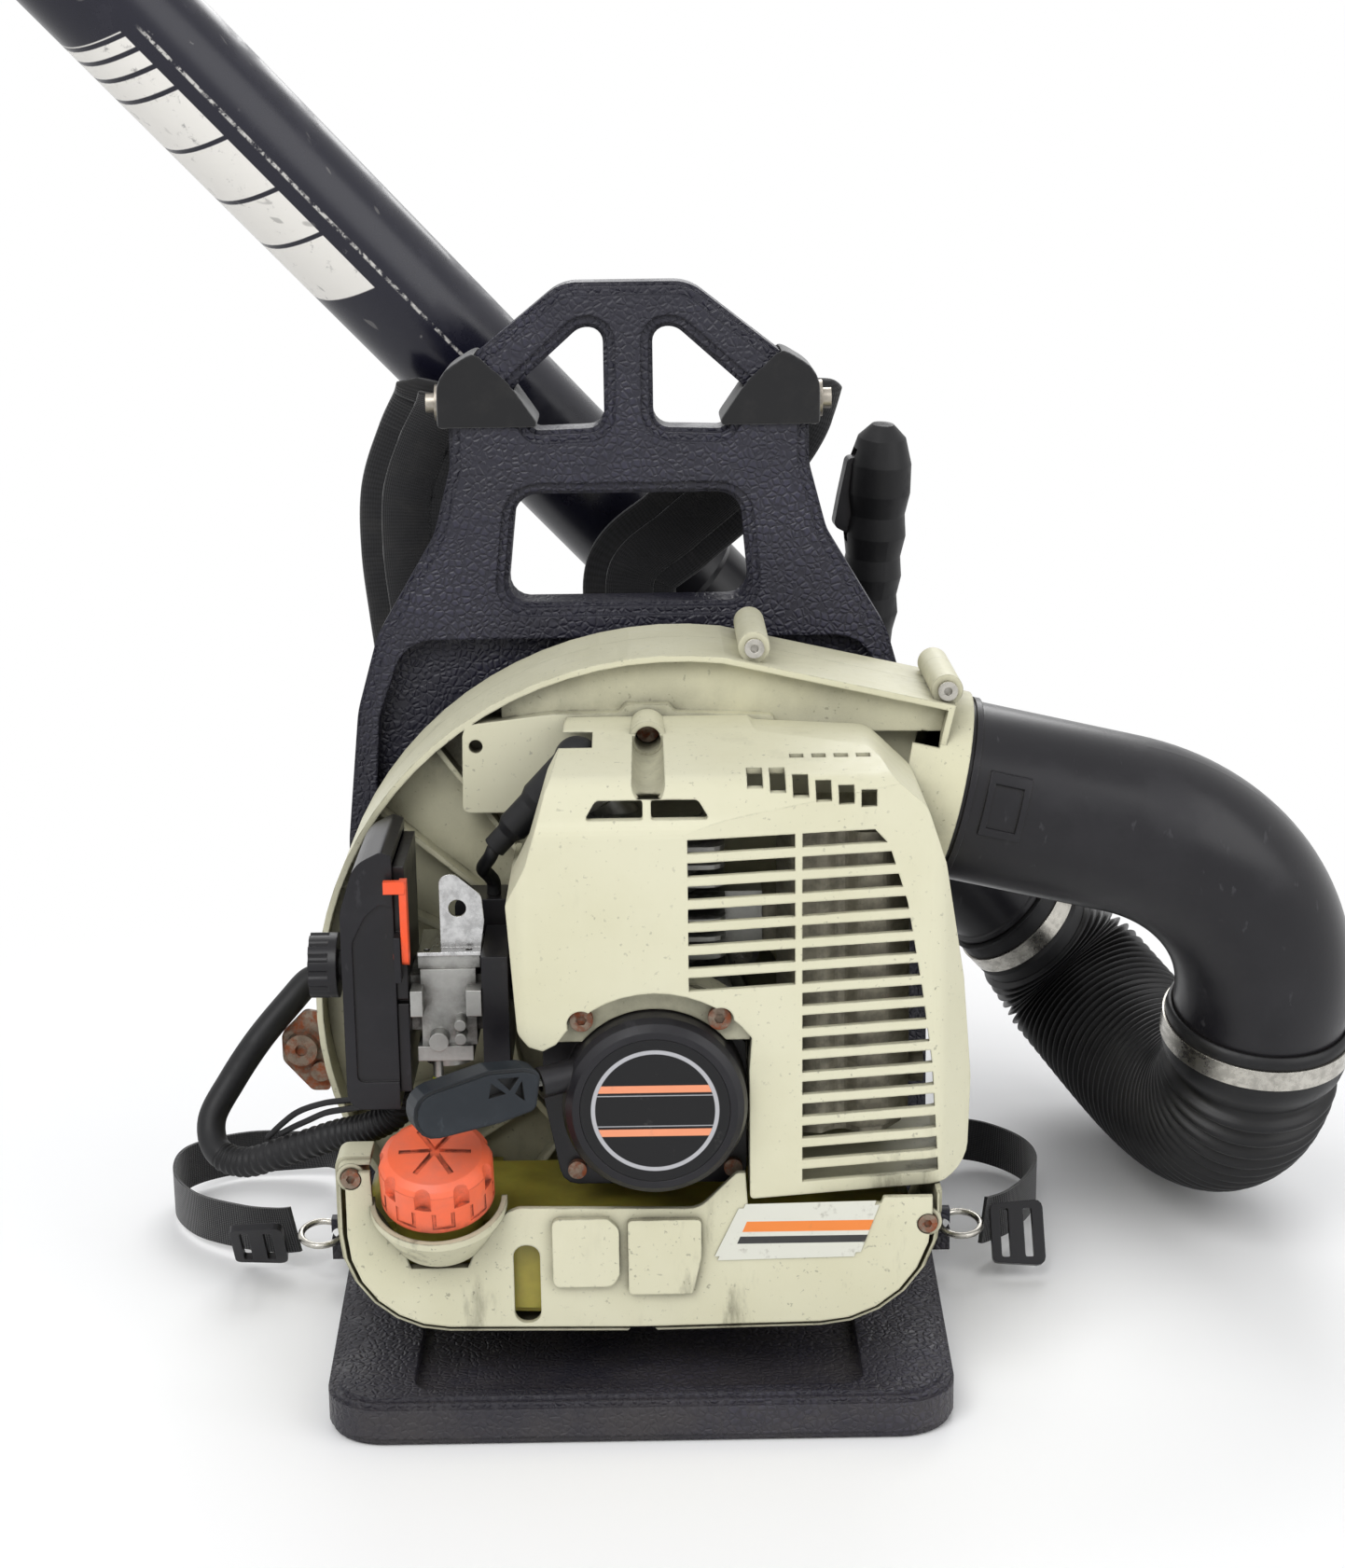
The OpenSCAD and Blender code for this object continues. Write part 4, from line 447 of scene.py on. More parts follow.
def disc_finish():
    """Bare starter face: black, a silver ring and two salmon stripes with thin linings."""
    c = colours()
    low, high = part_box("starter_disc")
    centre, radius = (low + high) / 2, (high.x - low.x) / 2
    black, silver = (0.006, 0.006, 0.007), (0.42, 0.42, 0.44)
    lining, scuffed = (0.4, 0.4, 0.42), (0.16, 0.15, 0.14)
    ring_from, ring_to, blur = radius * 0.80, radius * 0.855, 0.0002
    stripe_from, stripe_to, lining_from, lining_to = 0.0085, 0.0118, 0.0069, 0.0073
    f = Finish("starter_face", Roughness=0.42, Specular_IOR_Level=0.3)
    across = f.minus(f.axis("X"), centre.x)
    up = f.minus(f.axis("Z"), centre.z)
    out = f.sums("SQRT", f.plus(f.times(across, across), f.times(up, up)))

    def stripe(value, start, end):
        return f.between(value, start - blur, end + blur, 2 * blur)

    def stripes(start, end):
        return f.sums("MAXIMUM", stripe(up, start, end), stripe(up, -end, -start))

    inside = f.step(out, ring_from + blur, ring_from - blur)
    shade = f.mix(f.times(stripes(stripe_from, stripe_to), inside), black, tuple(c.stripe))
    shade = f.mix(f.times(stripes(lining_from, lining_to), inside), shade, lining)
    shade = f.mix(stripe(out, ring_from, ring_to), shade, silver)
    scuff = f.step(f.noise(90, 7, 0.7), 0.60, 0.74, 0, 0.55)
    f.paint(f.mix(f.times(scuff, 0.4), shade, scuffed))
    return f.material


FINISHES = {}


def finish(name):
    """The material of that name, made once."""
    if name not in FINISHES:
        c = colours()
        makers = {
            "housing": housing_finish,
            "leather": leather_finish,
            "plastic": lambda: moulded_finish("black_plastic", c.plastic, 0.40),
            "elbow": lambda: moulded_finish("elbow_plastic", c.plastic, 0.36, 0.25, 0.8),
            "handle": lambda: moulded_finish("handle_plastic", c.handle, 0.5, 0.6),
            "fan": lambda: moulded_finish("fan_plastic", (0.30, 0.30, 0.28), 0.5, 0.8),
            "pipe": pipe_finish,
            "rubber": lambda: rubber_finish("black_rubber", c.rubber),
            "hose": lambda: rubber_finish("hose_rubber", c.rubber, 0.46),
            "fuel": lambda: rubber_finish("fuel_tube", (0.40, 0.42, 0.03), 0.4),
            "webbing": lambda: webbing_finish("strap_webbing", c.webbing),
            "fabric": lambda: webbing_finish("pad_fabric", c.webbing, 0.0021),
            "rope": lambda: webbing_finish("rope_braid", (0.42, 0.42, 0.38), 0.0022),
            "steel": lambda: steel_finish("plated_steel", c.steel, 0.30),
            "bright": lambda: steel_finish("machined_steel", (0.62, 0.62, 0.62), 0.25),
            "muffler": lambda: steel_finish("sooted_steel", (0.30, 0.28, 0.22), 0.55, 0.2, 0.6),
            "rusty": lambda: steel_finish("rusty_steel", (0.28, 0.22, 0.17), 0.5, 0.62),
            "spotted": lambda: steel_finish("spotted_steel", (0.5, 0.46, 0.4), 0.4, 0.25),
            "ceramic": lambda: moulded_finish("plug_body", (0.7, 0.69, 0.65), 0.25, 0.4),
            "alloy": alloy_finish,
            "tank": tank_finish,
            "cap": lambda: cap_finish("cap_orange", c.cap),
            "choke": lambda: cap_finish("choke_orange", c.choke),
            "foam": foam_finish,
            "face": disc_finish,
        }
        FINISHES[name] = makers[name]()
    return FINISHES[name]


# ---------------------------------------------------------------- mesh helpers


def vec(point):
    """A route point in millimetres as a vector in metres."""
    return Vector(point) * MM


def spline(points, count):
    """Count + 1 points on the smooth route through the given points."""
    last = len(points) - 1
    made = []
    for i in range(count + 1):
        f = min(last - 1e-4, last * i / count)
        k = int(f)
        t = f - k
        a, b = points[max(0, k - 1)], points[k]
        c, d = points[k + 1], points[min(last, k + 2)]
        slope, bend, rest = c - a, 2 * a - 5 * b + 4 * c - d, 3 * b - a - 3 * c + d
        made.append(0.5 * (2 * b + slope * t + bend * t * t + rest * t**3))
    return made


def routed(points, count):
    """Smooth route in metres through points in millimetres."""
    return spline([vec(p) for p in points], count)


def headings(line):
    """Direction of the line at each of its points."""
    last = len(line) - 1
    return [(line[min(last, i + 1)] - line[max(0, i - 1)]).normalized() for i in range(last + 1)]


def carried(line):
    """A side direction at each point, carried along without twist."""
    sides, side = [], ASIDE
    for h in headings(line):
        side = (side - h * side.dot(h)).normalized()
        sides.append(side)
    return sides


def sweep(name, line, sides, section, material):
    """A closed skin: section(i) gives pairs (across, out) at point i; u runs along the line, v round it."""
    ways = headings(line)
    verts, faces, uvs = [], [], []
    run = 0.0
    for i, point in enumerate(line):
        if i:
            run += (point - line[i - 1]).length
        ring = section(i)
        out = ways[i].cross(sides[i])
        girth = 0.0
        for j, (a, b) in enumerate(ring):
            verts.append(point + sides[i] * a + out * b)
            if j:
                girth += math.dist(ring[j], ring[j - 1])
            uvs.append((run, girth))
    n = len(ring)
    for i in range(len(line) - 1):
        for j in range(n):
            k = (j + 1) % n
            faces.append((i * n + j, i * n + k, (i + 1) * n + k, (i + 1) * n + j))
    faces.append(tuple(range(n - 1, -1, -1)))
    faces.append(tuple((len(line) - 1) * n + j for j in range(n)))
    mesh = bpy.data.meshes.new(name)
    mesh.from_pydata([tuple(v) for v in verts], [], faces)
    layer = mesh.uv_layers.new(name="along")
    for loop in mesh.loops:
        layer.data[loop.index].uv = uvs[loop.vertex_index]
    return place_mesh(name, mesh, material)


def place_mesh(name, mesh, material, smooth=True):
    """Puts a mesh with one material into the scene."""
    mesh.validate()
    mesh.update()
    mesh.materials.append(material)
    for polygon in mesh.polygons:
        polygon.use_smooth = smooth
    piece = bpy.data.objects.new(name, mesh)
    bpy.context.scene.collection.objects.link(piece)
    return piece


def disc_section(radius, count):
    """Points round a circle."""
    turns = [math.tau * j / count for j in range(count)]
    return [(radius * math.cos(a), radius * math.sin(a)) for a in turns]


def cable(name, line, radius, material, count=16):
    """A round cable; radius is a number or a function of the share of its run."""
    size = radius if callable(radius) else lambda t: radius
    last = len(line) - 1
    return sweep(name, line, carried(line), lambda i: disc_section(size(i / last), count), material)


def sharpen(piece, angle=35):
    """Smooth faces, split at edges sharper than the angle."""
    bpy.context.view_layer.objects.active = piece
    piece.select_set(True)
    bpy.ops.object.shade_smooth_by_angle(angle=math.radians(angle))
    piece.select_set(False)


# ---------------------------------------------------------------- routes, as the solids have them

ASIDE = Vector((0.13, 0.31, 1))
CONDUIT = [(-153.2, 33, 165), (-162, 32, 164), (-171, 25, 156), (-186, 14, 140), (-199, 5, 122),
           (-208, -5, 106), (-204, -16, 94), (-189, -26, 92), (-166, -38, 103), (-142, -50, 115),
           (-125, -58, 122), (-112, -62, 131), (-111, -62, 142.2)]
STOP_WIRES = [
    [(-177, -32, 107), (-169, -37, 116), (-160, -42, 124), (-147, -50, 131), (-135, -57, 135),
     (-127, -62, 138), (-124, -64, 142.8)],
    [(-170, -36, 110.5), (-163, -40, 115.5), (-156, -44, 120), (-146, -52, 127), (-134, -60, 132),
     (-124, -67, 136.5), (-121, -68, 142.8)],
]
LEAD = [(-64.3, -45, 252.4), (-66.3, -44.8, 248), (-70, -38, 241), (-68, -32, 236), (-66, -27, 231),
        (-66, -26, 225)]
FUEL_LINE = [(-91, -72, 151.9), (-91, -72, 140), (-91, -70, 128), (-90, -66, 116), (-87, -60, 104),
             (-87, -60, 96.1)]
STRAP_LEFT = [(-92, 118, 448), (-96, 127, 436), (-105, 133, 418), (-114, 134, 392), (-115, 133, 362),
              (-112, 132, 330), (-108, 131, 296), (-104, 131, 260), (-100, 131, 220), (-98, 131, 178)]
STRAP_RIGHT = [(86, 118, 448), (82, 127, 436), (70, 129, 416), (50, 130, 394), (24, 130, 372), (0, 130, 350),
               (4, 131, 316), (28, 131, 280), (54, 131, 236), (72, 131, 178)]
LOWER_LEFT = [(-96, 132, 166), (-100, 135, 130), (-112, 140, 80), (-140, 150, 32), (-180, 168, 19),
              (-222, 172, 16), (-250, 150, 17), (-252, 118, 16), (-236, 88, 16), (-208, 66, 18),
              (-188, 54, 21), (-178, 48, 24)]
LOWER_RIGHT = [(74, 132, 166), (82, 136, 130), (100, 146, 86), (128, 160, 44), (160, 172, 22), (192, 170, 16),
               (210, 150, 15), (214, 122, 16), (206, 92, 18), (192, 66, 20), (180, 52, 22), (176, 46, 24)]
PIPE_CENTRE = vec((222, 264, 119))
PIPE_WAY = Vector((-0.656, -0.2167, 0.7229)).normalized()
# printed band of the pipe: turns in radians round it, runs in metres along it
BAND_TURN, BAND_RUN = (-2.8, -1.5), (0.561, 0.731)
BAND_GAPS = (0.5985, 0.6286, 0.6627, 0.695, 0.7087, 0.7197, 0.7287)
BAND_GAP, BAND_SLANT = 0.0032, 0.0104
FILM_TURN, FILM_LEAD = (-3.06, -2.99), 0.07
ELBOW_END = vec((312.012, 48.927, 113.799))
ELBOW_WAY = Vector((-0.044787, 0.254887, -0.965933)).normalized()
HOSE_SHORT = 0.0164  # how far the hose ends below the pipe's centre
HOSE_PULLS = (0.095, 0.092)  # reach of its curve out of the elbow and into the pipe
ROPE_START = vec((6, -100, 172))
ROPE_WAY = Vector((-0.917, -0.38, -0.112)).normalized()


# ---------------------------------------------------------------- pieces


def hose_line(t):
    """Point on the hose's centre line, 0 at the elbow and 1 at the cuff."""
    start, end, left = ELBOW_END, PIPE_CENTRE - PIPE_WAY * HOSE_SHORT, 1 - t
    out, back = start + ELBOW_WAY * HOSE_PULLS[0], end - PIPE_WAY * HOSE_PULLS[1]
    return left**3 * start + 3 * left * left * t * out + 3 * left * t * t * back + t**3 * end


def make_hose():
    """Ribbed hose: cuff over the elbow, rounded ribs round the bend, bore all the way."""
    s = sizes()
    rib_steps, count, rib_fullness = 10, 72, 0.75
    cuff_back, cuff_step, cuff_end, hose_from = 0.026, 0.0045, 0.0006, 0.03
    cuff_outer, cuff_bore, cuff_round = 0.0466, 0.04375, 0.0012
    end_crest, end_root, hose_bore, bore_loss, narrow_from = 0.039, 0.0366, 0.0365, 0.0029, 0.86
    total = s.hose_ribs * rib_steps
    line = [ELBOW_END + ELBOW_WAY * (cuff_step * k - cuff_back) for k in range(6)]
    line.append(ELBOW_END + ELBOW_WAY * cuff_end)
    lead = len(line)
    line += [hose_line(hose_from + (1 - hose_from) * i / total) for i in range(total + 1)]

    def narrowing(i):
        """0 along the hose, rising to 1 at the pipe."""
        return max(0.0, ((i - lead) / total - narrow_from) / (1 - narrow_from))

    def crest(i):
        """Outer radius, with the ribs."""
        if i < lead:
            return cuff_outer - (cuff_round if i in (0, lead - 1) else 0)
        wave = 0.5 - 0.5 * math.cos(math.tau * (i - lead) / rib_steps)
        high = s.rib_crest + (end_crest - s.rib_crest) * narrowing(i)
        deep = s.rib_root + (end_root - s.rib_root) * narrowing(i)
        return deep + (high - deep) * wave**rib_fullness

    def bore(i):
        """Inner radius."""
        return cuff_bore if i < lead else hose_bore - bore_loss * narrowing(i)

    sides = carried(line)
    ways = headings(line)
    verts, faces = [], []
    for reach in (crest, bore):
        for i, point in enumerate(line):
            out = ways[i].cross(sides[i])
            verts += [point + sides[i] * a + out * b for a, b in disc_section(reach(i), count)]
    rows = len(line)
    inner = rows * count
    for i in range(rows - 1):
        for j in range(count):
            k = (j + 1) % count
            a, b, c, d = i * count + j, i * count + k, (i + 1) * count + k, (i + 1) * count + j
            faces.append((a, b, c, d))
            faces.append((inner + d, inner + c, inner + b, inner + a))
    for row, flip in ((0, False), (rows - 1, True)):
        for j in range(count):
            a, b = row * count + j, row * count + (j + 1) % count
            faces.append((b, inner + b, inner + a, a) if flip else (a, inner + a, inner + b, b))
    mesh = bpy.data.meshes.new("ribbed_hose")
    mesh.from_pydata([tuple(v) for v in verts], [], faces)
    hose = place_mesh("ribbed_hose", mesh, finish("hose"))
    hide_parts("flexible_pipe")
    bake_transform(hose)


def make_cords():
    """Throttle conduit, stop wires, ignition lead, fuel line and starter rope."""
    conduit_radius, rib_depth, conduit_ribs, ribs_from = 0.0069, 0.00045, 70, 0.52
    wire_radius, lead_radius, fuel_radius = 0.0015, 0.0033, 0.0027
    rope_radius, braid_depth, braid_turns, rope_from, rope_shown = 0.00145, 0.00008, 24, 0.0055, 0.0584

    def corrugated(t):
        """A smooth sleeve, then fine ribs."""
        return conduit_radius + (rib_depth * math.cos(math.tau * t * conduit_ribs) if t > ribs_from else 0.0)

    def braided(t):
        """The rope's braid."""
        return rope_radius + braid_depth * math.cos(math.tau * t * braid_turns)

    conduit = cable("conduit_tube", routed(CONDUIT, 560), corrugated, finish("rubber"), 24)
    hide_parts("throttle_conduit")
    wires = []
    for k, points in enumerate(STOP_WIRES):
        wires.append(cable(f"stop_wire_{k}", routed(points, 60), wire_radius, finish("rubber"), 12))
    for wire in wires:
        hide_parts("stop_wires")
    lead = cable("plug_lead", routed(LEAD, 50), lead_radius, finish("rubber"))
    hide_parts("ignition_lead")
    fuel = cable("fuel_tube", routed(FUEL_LINE, 50), fuel_radius, finish("fuel"))
    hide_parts("fuel_line")
    rope_line = [ROPE_START + ROPE_WAY * (rope_from + rope_shown * k / 60) for k in range(61)]
    rope = cable("pull_rope", rope_line, braided, finish("rope"), 12)
    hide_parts("starter_rope")
    for piece in (conduit, *wires, lead, fuel):
        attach(piece, "machine")
    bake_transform(rope)


def padded_section(width, thick, count=40):
    """Section of a padded strap: crowned faces between two flat bound edges."""
    edge_power, crown_power = 0.55, 0.75
    ring = []
    for j in range(count):
        c, s = math.cos(math.tau * j / count), math.sin(math.tau * j / count)
        across = width / 2 * math.copysign(abs(c) ** edge_power, c)
        ring.append((across, thick / 2 * math.copysign(abs(s) ** crown_power, s)))
    return ring


def make_shoulder_straps():
    """Padded shoulder straps with a webbing run stitched down their middle."""
    width, thick, quilts, quilt_depth = sizes().strap_width, 0.0092, 9, 0.22
    half, top, bevel, ply = 0.0125, 0.0052, 0.0011, 0.002
    band = [(-half, top - bevel), (-half * 0.95, top), (half * 0.95, top), (half, top - bevel),
            (half * 0.9, top - ply), (-half * 0.9, top - ply)]
    for name, node, points, tilt in (
        ("padded_strap_left", "shoulder_strap_left", STRAP_LEFT, -0.15),
        ("padded_strap_right", "shoulder_strap_right", STRAP_RIGHT, 0.3),
    ):
        line = routed(points, 150)
        wide = Vector((1, 0, tilt))
        sides = [(wide - h * wide.dot(h)).normalized() for h in headings(line)]
        last = len(line) - 1

        def section(i):
            """Thinner and narrower at both ends, nipped at the quilting seams."""
            ends = min(1.0, 0.35 + min(i, last - i) / 20)
            quilt = 1 - quilt_depth * max(0.0, math.cos(math.tau * i / last * quilts)) ** 10
            return padded_section(width * min(1, ends + 0.25), thick * (ends * quilt))

        strap = sweep(name, line, sides, section, finish("fabric"))
        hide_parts(node)
        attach(strap, "machine")

        run = name.replace("padded", "webbing_on")
        webbing = sweep(run, line[6:-6], sides[6:-6], lambda i: band, finish("webbing"))
        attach(webbing, "machine")


def make_lower_straps():
    """Flat lower straps from the pad down to the rings at the base."""
    a, b = sizes().webbing_width / 2, 0.0009
    ribbon = [(-a, -b), (-a * 0.5, -b), (a * 0.5, -b), (a, -b), (a, b), (a * 0.5, b), (-a * 0.5, b), (-a, b)]
    turn_from, turn_run = 0.30, 0.12
    for name, points, sign in (("lower_strap_left", LOWER_LEFT, 1), ("lower_strap_right", LOWER_RIGHT, -1)):
        line = routed(points, 184)
        sides = []
        for i, way in enumerate(headings(line)):
            # the strap turns on edge on its way from the pad to the ring
            lean = min(1.0, max(0.0, (i / (len(line) - 1) - turn_from) / turn_run))
            wide = Vector((1 - lean, -sign * lean * (1 - lean), lean))
            sides.append((wide - way * wide.dot(way)).normalized())
        strap = sweep(name, line, sides, lambda i: ribbon, finish("webbing"))
        sharpen(strap)
        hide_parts("lower_straps")
        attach(strap, "machine")


def copied(node, name, material):
    """A free copy of a solid's mesh."""
    mesh = frame["nodes"][node].data.copy()
    mesh.materials.clear()
    return place_mesh(name, mesh, material)


def apply_all(piece):
    """Turns the piece's modifiers into plain mesh."""
    bpy.context.view_layer.update()
    graph = bpy.context.evaluated_depsgraph_get()
    mesh = bpy.data.meshes.new_from_object(piece.evaluated_get(graph))
    piece.modifiers.clear()
    piece.data = mesh
    for polygon in mesh.polygons:
        polygon.use_smooth = True


def remeshed(piece, voxel, rounds):
    """Fuses the piece into one even skin and eases its edges."""
    fused = piece.modifiers.new("fuse", "REMESH")
    fused.mode, fused.voxel_size = "VOXEL", voxel
    ease = piece.modifiers.new("ease", "SMOOTH")
    ease.factor, ease.iterations = 0.5, rounds
    apply_all(piece)


def make_back_pads():
    """Back pads: filled textile pads with three sewn channels each."""
    pads = copied("back_pad", "back_cushion", finish("fabric"))
    remeshed(pads, 0.004, 6)
    channels, channel_depth, channel_width = (0.125, 0.190, 0.255), 0.0045, 0.0042
    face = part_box("back_pad")[0].y + 0.006
    for v in pads.data.vertices:
        if v.co.y > face:
            for z in channels:
                v.co.y -= channel_depth * math.exp(-(((v.co.z - z) / channel_width) ** 2))
    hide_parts("back_pad")
    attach(pads, "machine")


def make_sleeves():
    """Cloth sleeves wrapped round the frame's shoulders."""
    sleeves = copied("strap_sleeves", "wrapped_sleeves", finish("fabric"))
    remeshed(sleeves, 0.0012, 3)
    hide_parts("strap_sleeves")
    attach(sleeves, "machine")


def make_plates():
    """Bare label plate of the tank guard: a pale trapezoid with an orange and a black stripe."""
    left, right, foot, lean = 0.033, 0.109, 0.077, 0.42
    corners = [(left, foot), (0.099, 0.078), (0.1088, 0.1048), (0.0458, 0.104)]
    front, thick, corner_round = -0.1126, 0.0004, 0.0022
    pale, orange, black = (0.66, 0.66, 0.58), (0.8, 0.22, 0.03), (0.02, 0.02, 0.02)
    orange_band, black_line, blur = (0.0905, 0.0958), (0.0848, 0.0886), 0.0003
    mesh = bmesh.new()
    mesh.faces.new([mesh.verts.new((x, front, z)) for x, z in corners])
    bmesh.ops.bevel(mesh, geom=list(mesh.verts), offset=corner_round, segments=4, affect="VERTICES")
    walls = bmesh.ops.extrude_face_region(mesh, geom=list(mesh.faces))
    for v in [g for g in walls["geom"] if isinstance(g, bmesh.types.BMVert)]:
        v.co.y -= thick
    bmesh.ops.recalc_face_normals(mesh, faces=mesh.faces)
    made = bpy.data.meshes.new("label_plate")
    mesh.to_mesh(made)
    mesh.free()
    f = Finish("label_film", Roughness=0.3, Coat_Weight=0.2)
    slope = f.minus(f.axis("X"), f.times(f.minus(f.axis("Z"), foot), lean))
    along = f.sums("DIVIDE", f.minus(slope, left), right - left)
    printed = f.step(along, 0.10, 0.102)
    shade = f.mix(f.times(f.between(f.axis("Z"), *orange_band, blur), printed), pale, orange)
    shade = f.mix(f.times(f.between(f.axis("Z"), *black_line, blur), printed), shade, black)
    f.paint(f.mix(f.step(f.noise(120, 7, 0.7), 0.56, 0.72, 0, 0.6), shade, DUST_AND_SHADE["label"]))
    plate = place_mesh("label_plate", made, f.material, False)
    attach(plate, "machine")


CAD_FINISH = {
    "leather": ["back_frame"],
    "housing": ["fan_case_front", "fan_case_rear", "engine_cover", "tank_guard"],
    "plastic": ["intake_grille", "ignition_coil", "intake_insulator", "air_filter_base", "air_filter_cover",
                "air_filter_knob", "starter_housing", "swivel_pipe", "nozzle_pipe", "strap_buckles",
                "throttle_trigger"],
    "elbow": ["elbow_pipe"],
    "handle": ["starter_handle"],
    "fan": ["fan", "starter_reel"],
    "pipe": ["straight_pipe"],
    "rubber": ["vibration_mounts", "plug_boot", "hose_cuff", "pipe_grip", "fuel_cap_seal"],
    "steel": ["elbow_clamp", "pipe_clamp", "strap_rings", "mount_bolts", "fan_case_screws"],
    "muffler": ["muffler"],
    "bright": ["crankshaft", "crank_bearings", "starter_hub", "throttle_lever", "cable_bracket"],
    "rusty": ["cover_screws", "conduit_bracket"],
    "spotted": ["strap_bolts"],
    "ceramic": ["spark_plug"],
    "alloy": ["crankcase", "engine_cylinder", "carburetor"],
    "tank": ["fuel_tank"],
    "cap": ["fuel_cap"],
    "choke": ["choke_lever"],
    "foam": ["air_filter_element"],
    "face": ["starter_disc"],
}


def dress_solids():
    """Gives every solid that stays its finish."""
    for name, nodes in CAD_FINISH.items():
        for node in nodes:
            solid = frame["nodes"][node]
            solid.data.materials.clear()
            solid.data.materials.append(finish(name))
            sharpen(solid, 32)


def make_camera():
    """Camera low in front of the starter side, looking slightly down."""
    pitch, yaw, roll = (math.radians(v) for v in (14.39, 0.5, -0.7))
    place, focal_length, sensor = (0.008, -1.2, 0.578), 59.96, 36
    ahead = Vector((math.sin(yaw) * math.cos(pitch), math.cos(yaw) * math.cos(pitch), -math.sin(pitch)))
    right = Vector((math.cos(yaw), -math.sin(yaw), 0))
    up = right.cross(ahead)
    level = right * math.cos(roll) + up * math.sin(roll)
    upright = up * math.cos(roll) - right * math.sin(roll)
    lens = bpy.data.cameras.new("camera")
    lens.sensor_width, lens.sensor_fit, lens.lens = sensor, "AUTO", focal_length
    camera = bpy.data.objects.new("camera", lens)
    bpy.context.scene.collection.objects.link(camera)
    turn = Matrix((level, upright, -ahead)).transposed()
    camera.matrix_world = Matrix.Translation(place) @ turn.to_4x4()
    bpy.context.scene.camera = camera


def lamp(name, place, aim, size, power):
    """A soft square lamp."""
    light = bpy.data.lights.new(name, "AREA")
    light.size, light.energy = size, power
    made = bpy.data.objects.new(name, light)
    bpy.context.scene.collection.objects.link(made)
    made.location = place
    made.rotation_euler = (Vector(aim) - Vector(place)).to_track_quat("-Z", "Y").to_euler()


def camera_sees(tree):
    """1 for rays that show or mirror the surround, 0 for those that light the blower."""
    path = tree.nodes.new("ShaderNodeLightPath")
    total = path.outputs["Is Camera Ray"]
    for name in ("Is Glossy Ray", "Is Transmission Ray"):
        wider = tree.nodes.new("ShaderNodeMath")
        wider.operation = "MAXIMUM"
        tree.links.new(total, wider.inputs[0])
        tree.links.new(path.outputs[name], wider.inputs[1])
        total = wider.outputs[0]
    return total


def make_floor():
    """White floor that keeps the shadow near the blower and turns into the white surround further out."""
    half = sizes().floor / 2
    shadow_reach = (0.30, 0.75)
    mesh = bpy.data.meshes.new("floor")
    corners = [(-half, -half, 0), (half, -half, 0), (half, half, 0), (-half, half, 0)]
    mesh.from_pydata(corners, [], [(0, 1, 2, 3)])
    f = Finish("floor_white", Roughness=0.7, Specular_IOR_Level=0.2)
    f.shader.inputs["Base Color"].default_value = (0.95, 0.95, 0.95, 1)
    out = f.node("VectorMath", {0: f.scaled(0.8, 1, 1)}, operation="LENGTH").outputs["Value"]
    away = f.times(f.step(out, *shadow_reach), camera_sees(f.tree))
    glow = f.node("Emission", {"Color": (1, 1, 1, 1), "Strength": 1.0})
    blend = f.node("MixShader", {0: away})
    f.tree.links.new(f.shader.outputs[0], blend.inputs[1])
    f.tree.links.new(glow.outputs[0], blend.inputs[2])
    f.tree.links.new(blend.outputs[0], f.output.inputs["Surface"])
    place_mesh("floor", mesh, f.material, False)


def surround(tree, tint, strength):
    """A plain surround of one colour."""
    made = tree.nodes.new("ShaderNodeBackground")
    made.inputs["Color"].default_value = (*tint, 1)
    made.inputs["Strength"].default_value = strength
    return made


# name, place, aim, size and power of each lamp
LAMPS = (
    ("key", (-0.9, -1.7, 2.1), (0, 0, 0.25), 1.6, 38),
    ("fill", (1.8, -1.2, 1.3), (0, 0, 0.25), 1.8, 18),
    ("back", (0.2, 2.0, 1.8), (0, 0, 0.3), 1.6, 26),
)


def make_stage():
    """White floor, white surround and soft lamps at a plain level."""
    scene = bpy.context.scene
    scene.view_settings.view_transform = "Standard"
    make_floor()
    scene.world = bpy.data.worlds.new("studio")
    scene.world.use_nodes = True
    tree = scene.world.node_tree
    tree.nodes.clear()
    choose = tree.nodes.new("ShaderNodeMixShader")
    out = tree.nodes.new("ShaderNodeOutputWorld")
    tree.links.new(camera_sees(tree), choose.inputs[0])
    tree.links.new(surround(tree, (0.97, 0.98, 1), 0.55).outputs[0], choose.inputs[1])
    tree.links.new(surround(tree, (1, 1, 1), 1.0).outputs[0], choose.inputs[2])
    tree.links.new(choose.outputs[0], out.inputs[0])
    for name, place, aim, size, power in LAMPS:
        lamp(name, place, aim, size, power)


# ---------------------------------------------------------------- operators and panel


class BLOWER_OT_camera(bpy.types.Operator):
    """Place the camera"""

    bl_idname = "blower.camera"
    bl_label = "Camera"
    bl_options = {"REGISTER", "UNDO"}

    def execute(self, context):
        make_camera()
        return {"FINISHED"}


class BLOWER_OT_cords(bpy.types.Operator):
    """Make the conduit, wires, lead, fuel line and rope"""

    bl_idname = "blower.cords"
    bl_label = "Cords"
    bl_options = {"REGISTER", "UNDO"}

    def execute(self, context):
        make_cords()
        return {"FINISHED"}


class BLOWER_OT_hose(bpy.types.Operator):
    """Make the ribbed hose"""

    bl_idname = "blower.hose"
    bl_label = "Ribbed hose"
    bl_options = {"REGISTER", "UNDO"}

    def execute(self, context):
        make_hose()
        return {"FINISHED"}


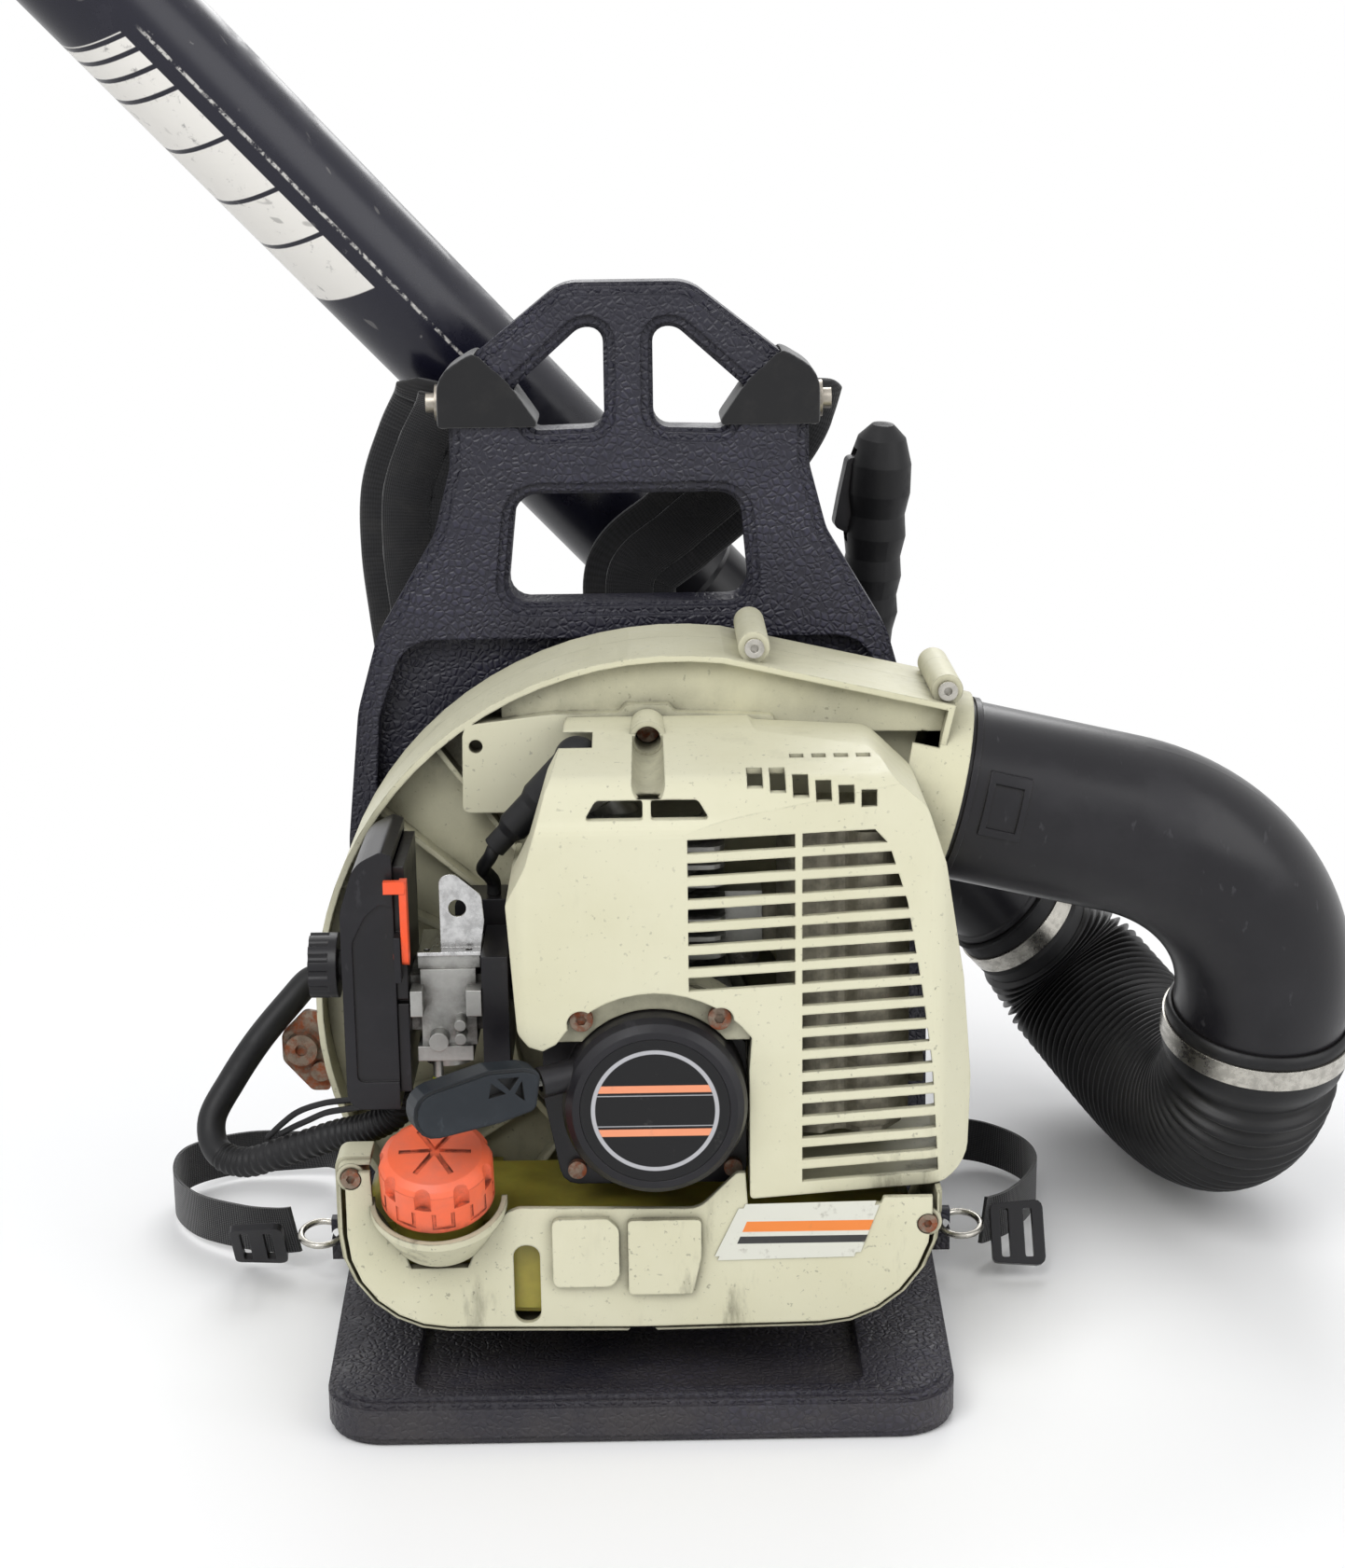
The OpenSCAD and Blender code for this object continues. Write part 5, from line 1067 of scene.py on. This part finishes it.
class BLOWER_OT_shoulder_straps(bpy.types.Operator):
    """Make the padded shoulder straps"""

    bl_idname = "blower.shoulder_straps"
    bl_label = "Shoulder straps"
    bl_options = {"REGISTER", "UNDO"}

    def execute(self, context):
        make_shoulder_straps()
        return {"FINISHED"}


class BLOWER_OT_lower_straps(bpy.types.Operator):
    """Make the lower webbing straps"""

    bl_idname = "blower.lower_straps"
    bl_label = "Lower straps"
    bl_options = {"REGISTER", "UNDO"}

    def execute(self, context):
        make_lower_straps()
        return {"FINISHED"}


class BLOWER_OT_sleeves(bpy.types.Operator):
    """Make the cloth sleeves on the frame"""

    bl_idname = "blower.sleeves"
    bl_label = "Sleeves"
    bl_options = {"REGISTER", "UNDO"}

    def execute(self, context):
        make_sleeves()
        return {"FINISHED"}


class BLOWER_OT_back_pads(bpy.types.Operator):
    """Make the back pads"""

    bl_idname = "blower.back_pads"
    bl_label = "Back pads"
    bl_options = {"REGISTER", "UNDO"}

    def execute(self, context):
        make_back_pads()
        return {"FINISHED"}


class BLOWER_OT_plates(bpy.types.Operator):
    """Make the bare label plate of the tank guard"""

    bl_idname = "blower.plates"
    bl_label = "Plates"
    bl_options = {"REGISTER", "UNDO"}

    def execute(self, context):
        make_plates()
        return {"FINISHED"}


class BLOWER_OT_solids(bpy.types.Operator):
    """Give the solids that stay their finishes"""

    bl_idname = "blower.solids"
    bl_label = "Solids"
    bl_options = {"REGISTER", "UNDO"}

    def execute(self, context):
        dress_solids()
        return {"FINISHED"}


class BLOWER_OT_stage(bpy.types.Operator):
    """Make the floor, lamps and surround"""

    bl_idname = "blower.stage"
    bl_label = "Stage"
    bl_options = {"REGISTER", "UNDO"}

    def execute(self, context):
        make_stage()
        return {"FINISHED"}


OPERATORS = [
    BLOWER_OT_camera,
    BLOWER_OT_cords,
    BLOWER_OT_hose,
    BLOWER_OT_shoulder_straps,
    BLOWER_OT_lower_straps,
    BLOWER_OT_sleeves,
    BLOWER_OT_back_pads,
    BLOWER_OT_plates,
    BLOWER_OT_solids,
    BLOWER_OT_stage,
]


class BLOWER_PT_panel(bpy.types.Panel):
    """Lists the blower's operators and settings"""

    bl_label = "Leaf Blower"
    bl_idname = "BLOWER_PT_panel"
    bl_space_type = "VIEW_3D"
    bl_region_type = "UI"
    bl_category = "Blower"

    def draw(self, context):
        for made in OPERATORS:
            self.layout.operator(made.bl_idname)
        for group in (context.scene.blower_sizes, context.scene.blower_colours):
            box = self.layout.box()
            for name in group.__annotations__:
                box.prop(group, name)


CLASSES = [BlowerColours, BlowerSizes, *OPERATORS, BLOWER_PT_panel]


def register():
    """Adds the blower's classes and settings."""
    for made in CLASSES:
        bpy.utils.register_class(made)
    bpy.types.Scene.blower_colours = PointerProperty(type=BlowerColours)
    bpy.types.Scene.blower_sizes = PointerProperty(type=BlowerSizes)


def unregister():
    """Takes them away again."""
    del bpy.types.Scene.blower_sizes
    del bpy.types.Scene.blower_colours
    for made in reversed(CLASSES):
        bpy.utils.unregister_class(made)


def main():
    """Builds everything in order."""
    register()
    for made in OPERATORS:
        getattr(bpy.ops.blower, made.bl_idname.split(".")[1])()


if __name__ == "__main__":
    main()
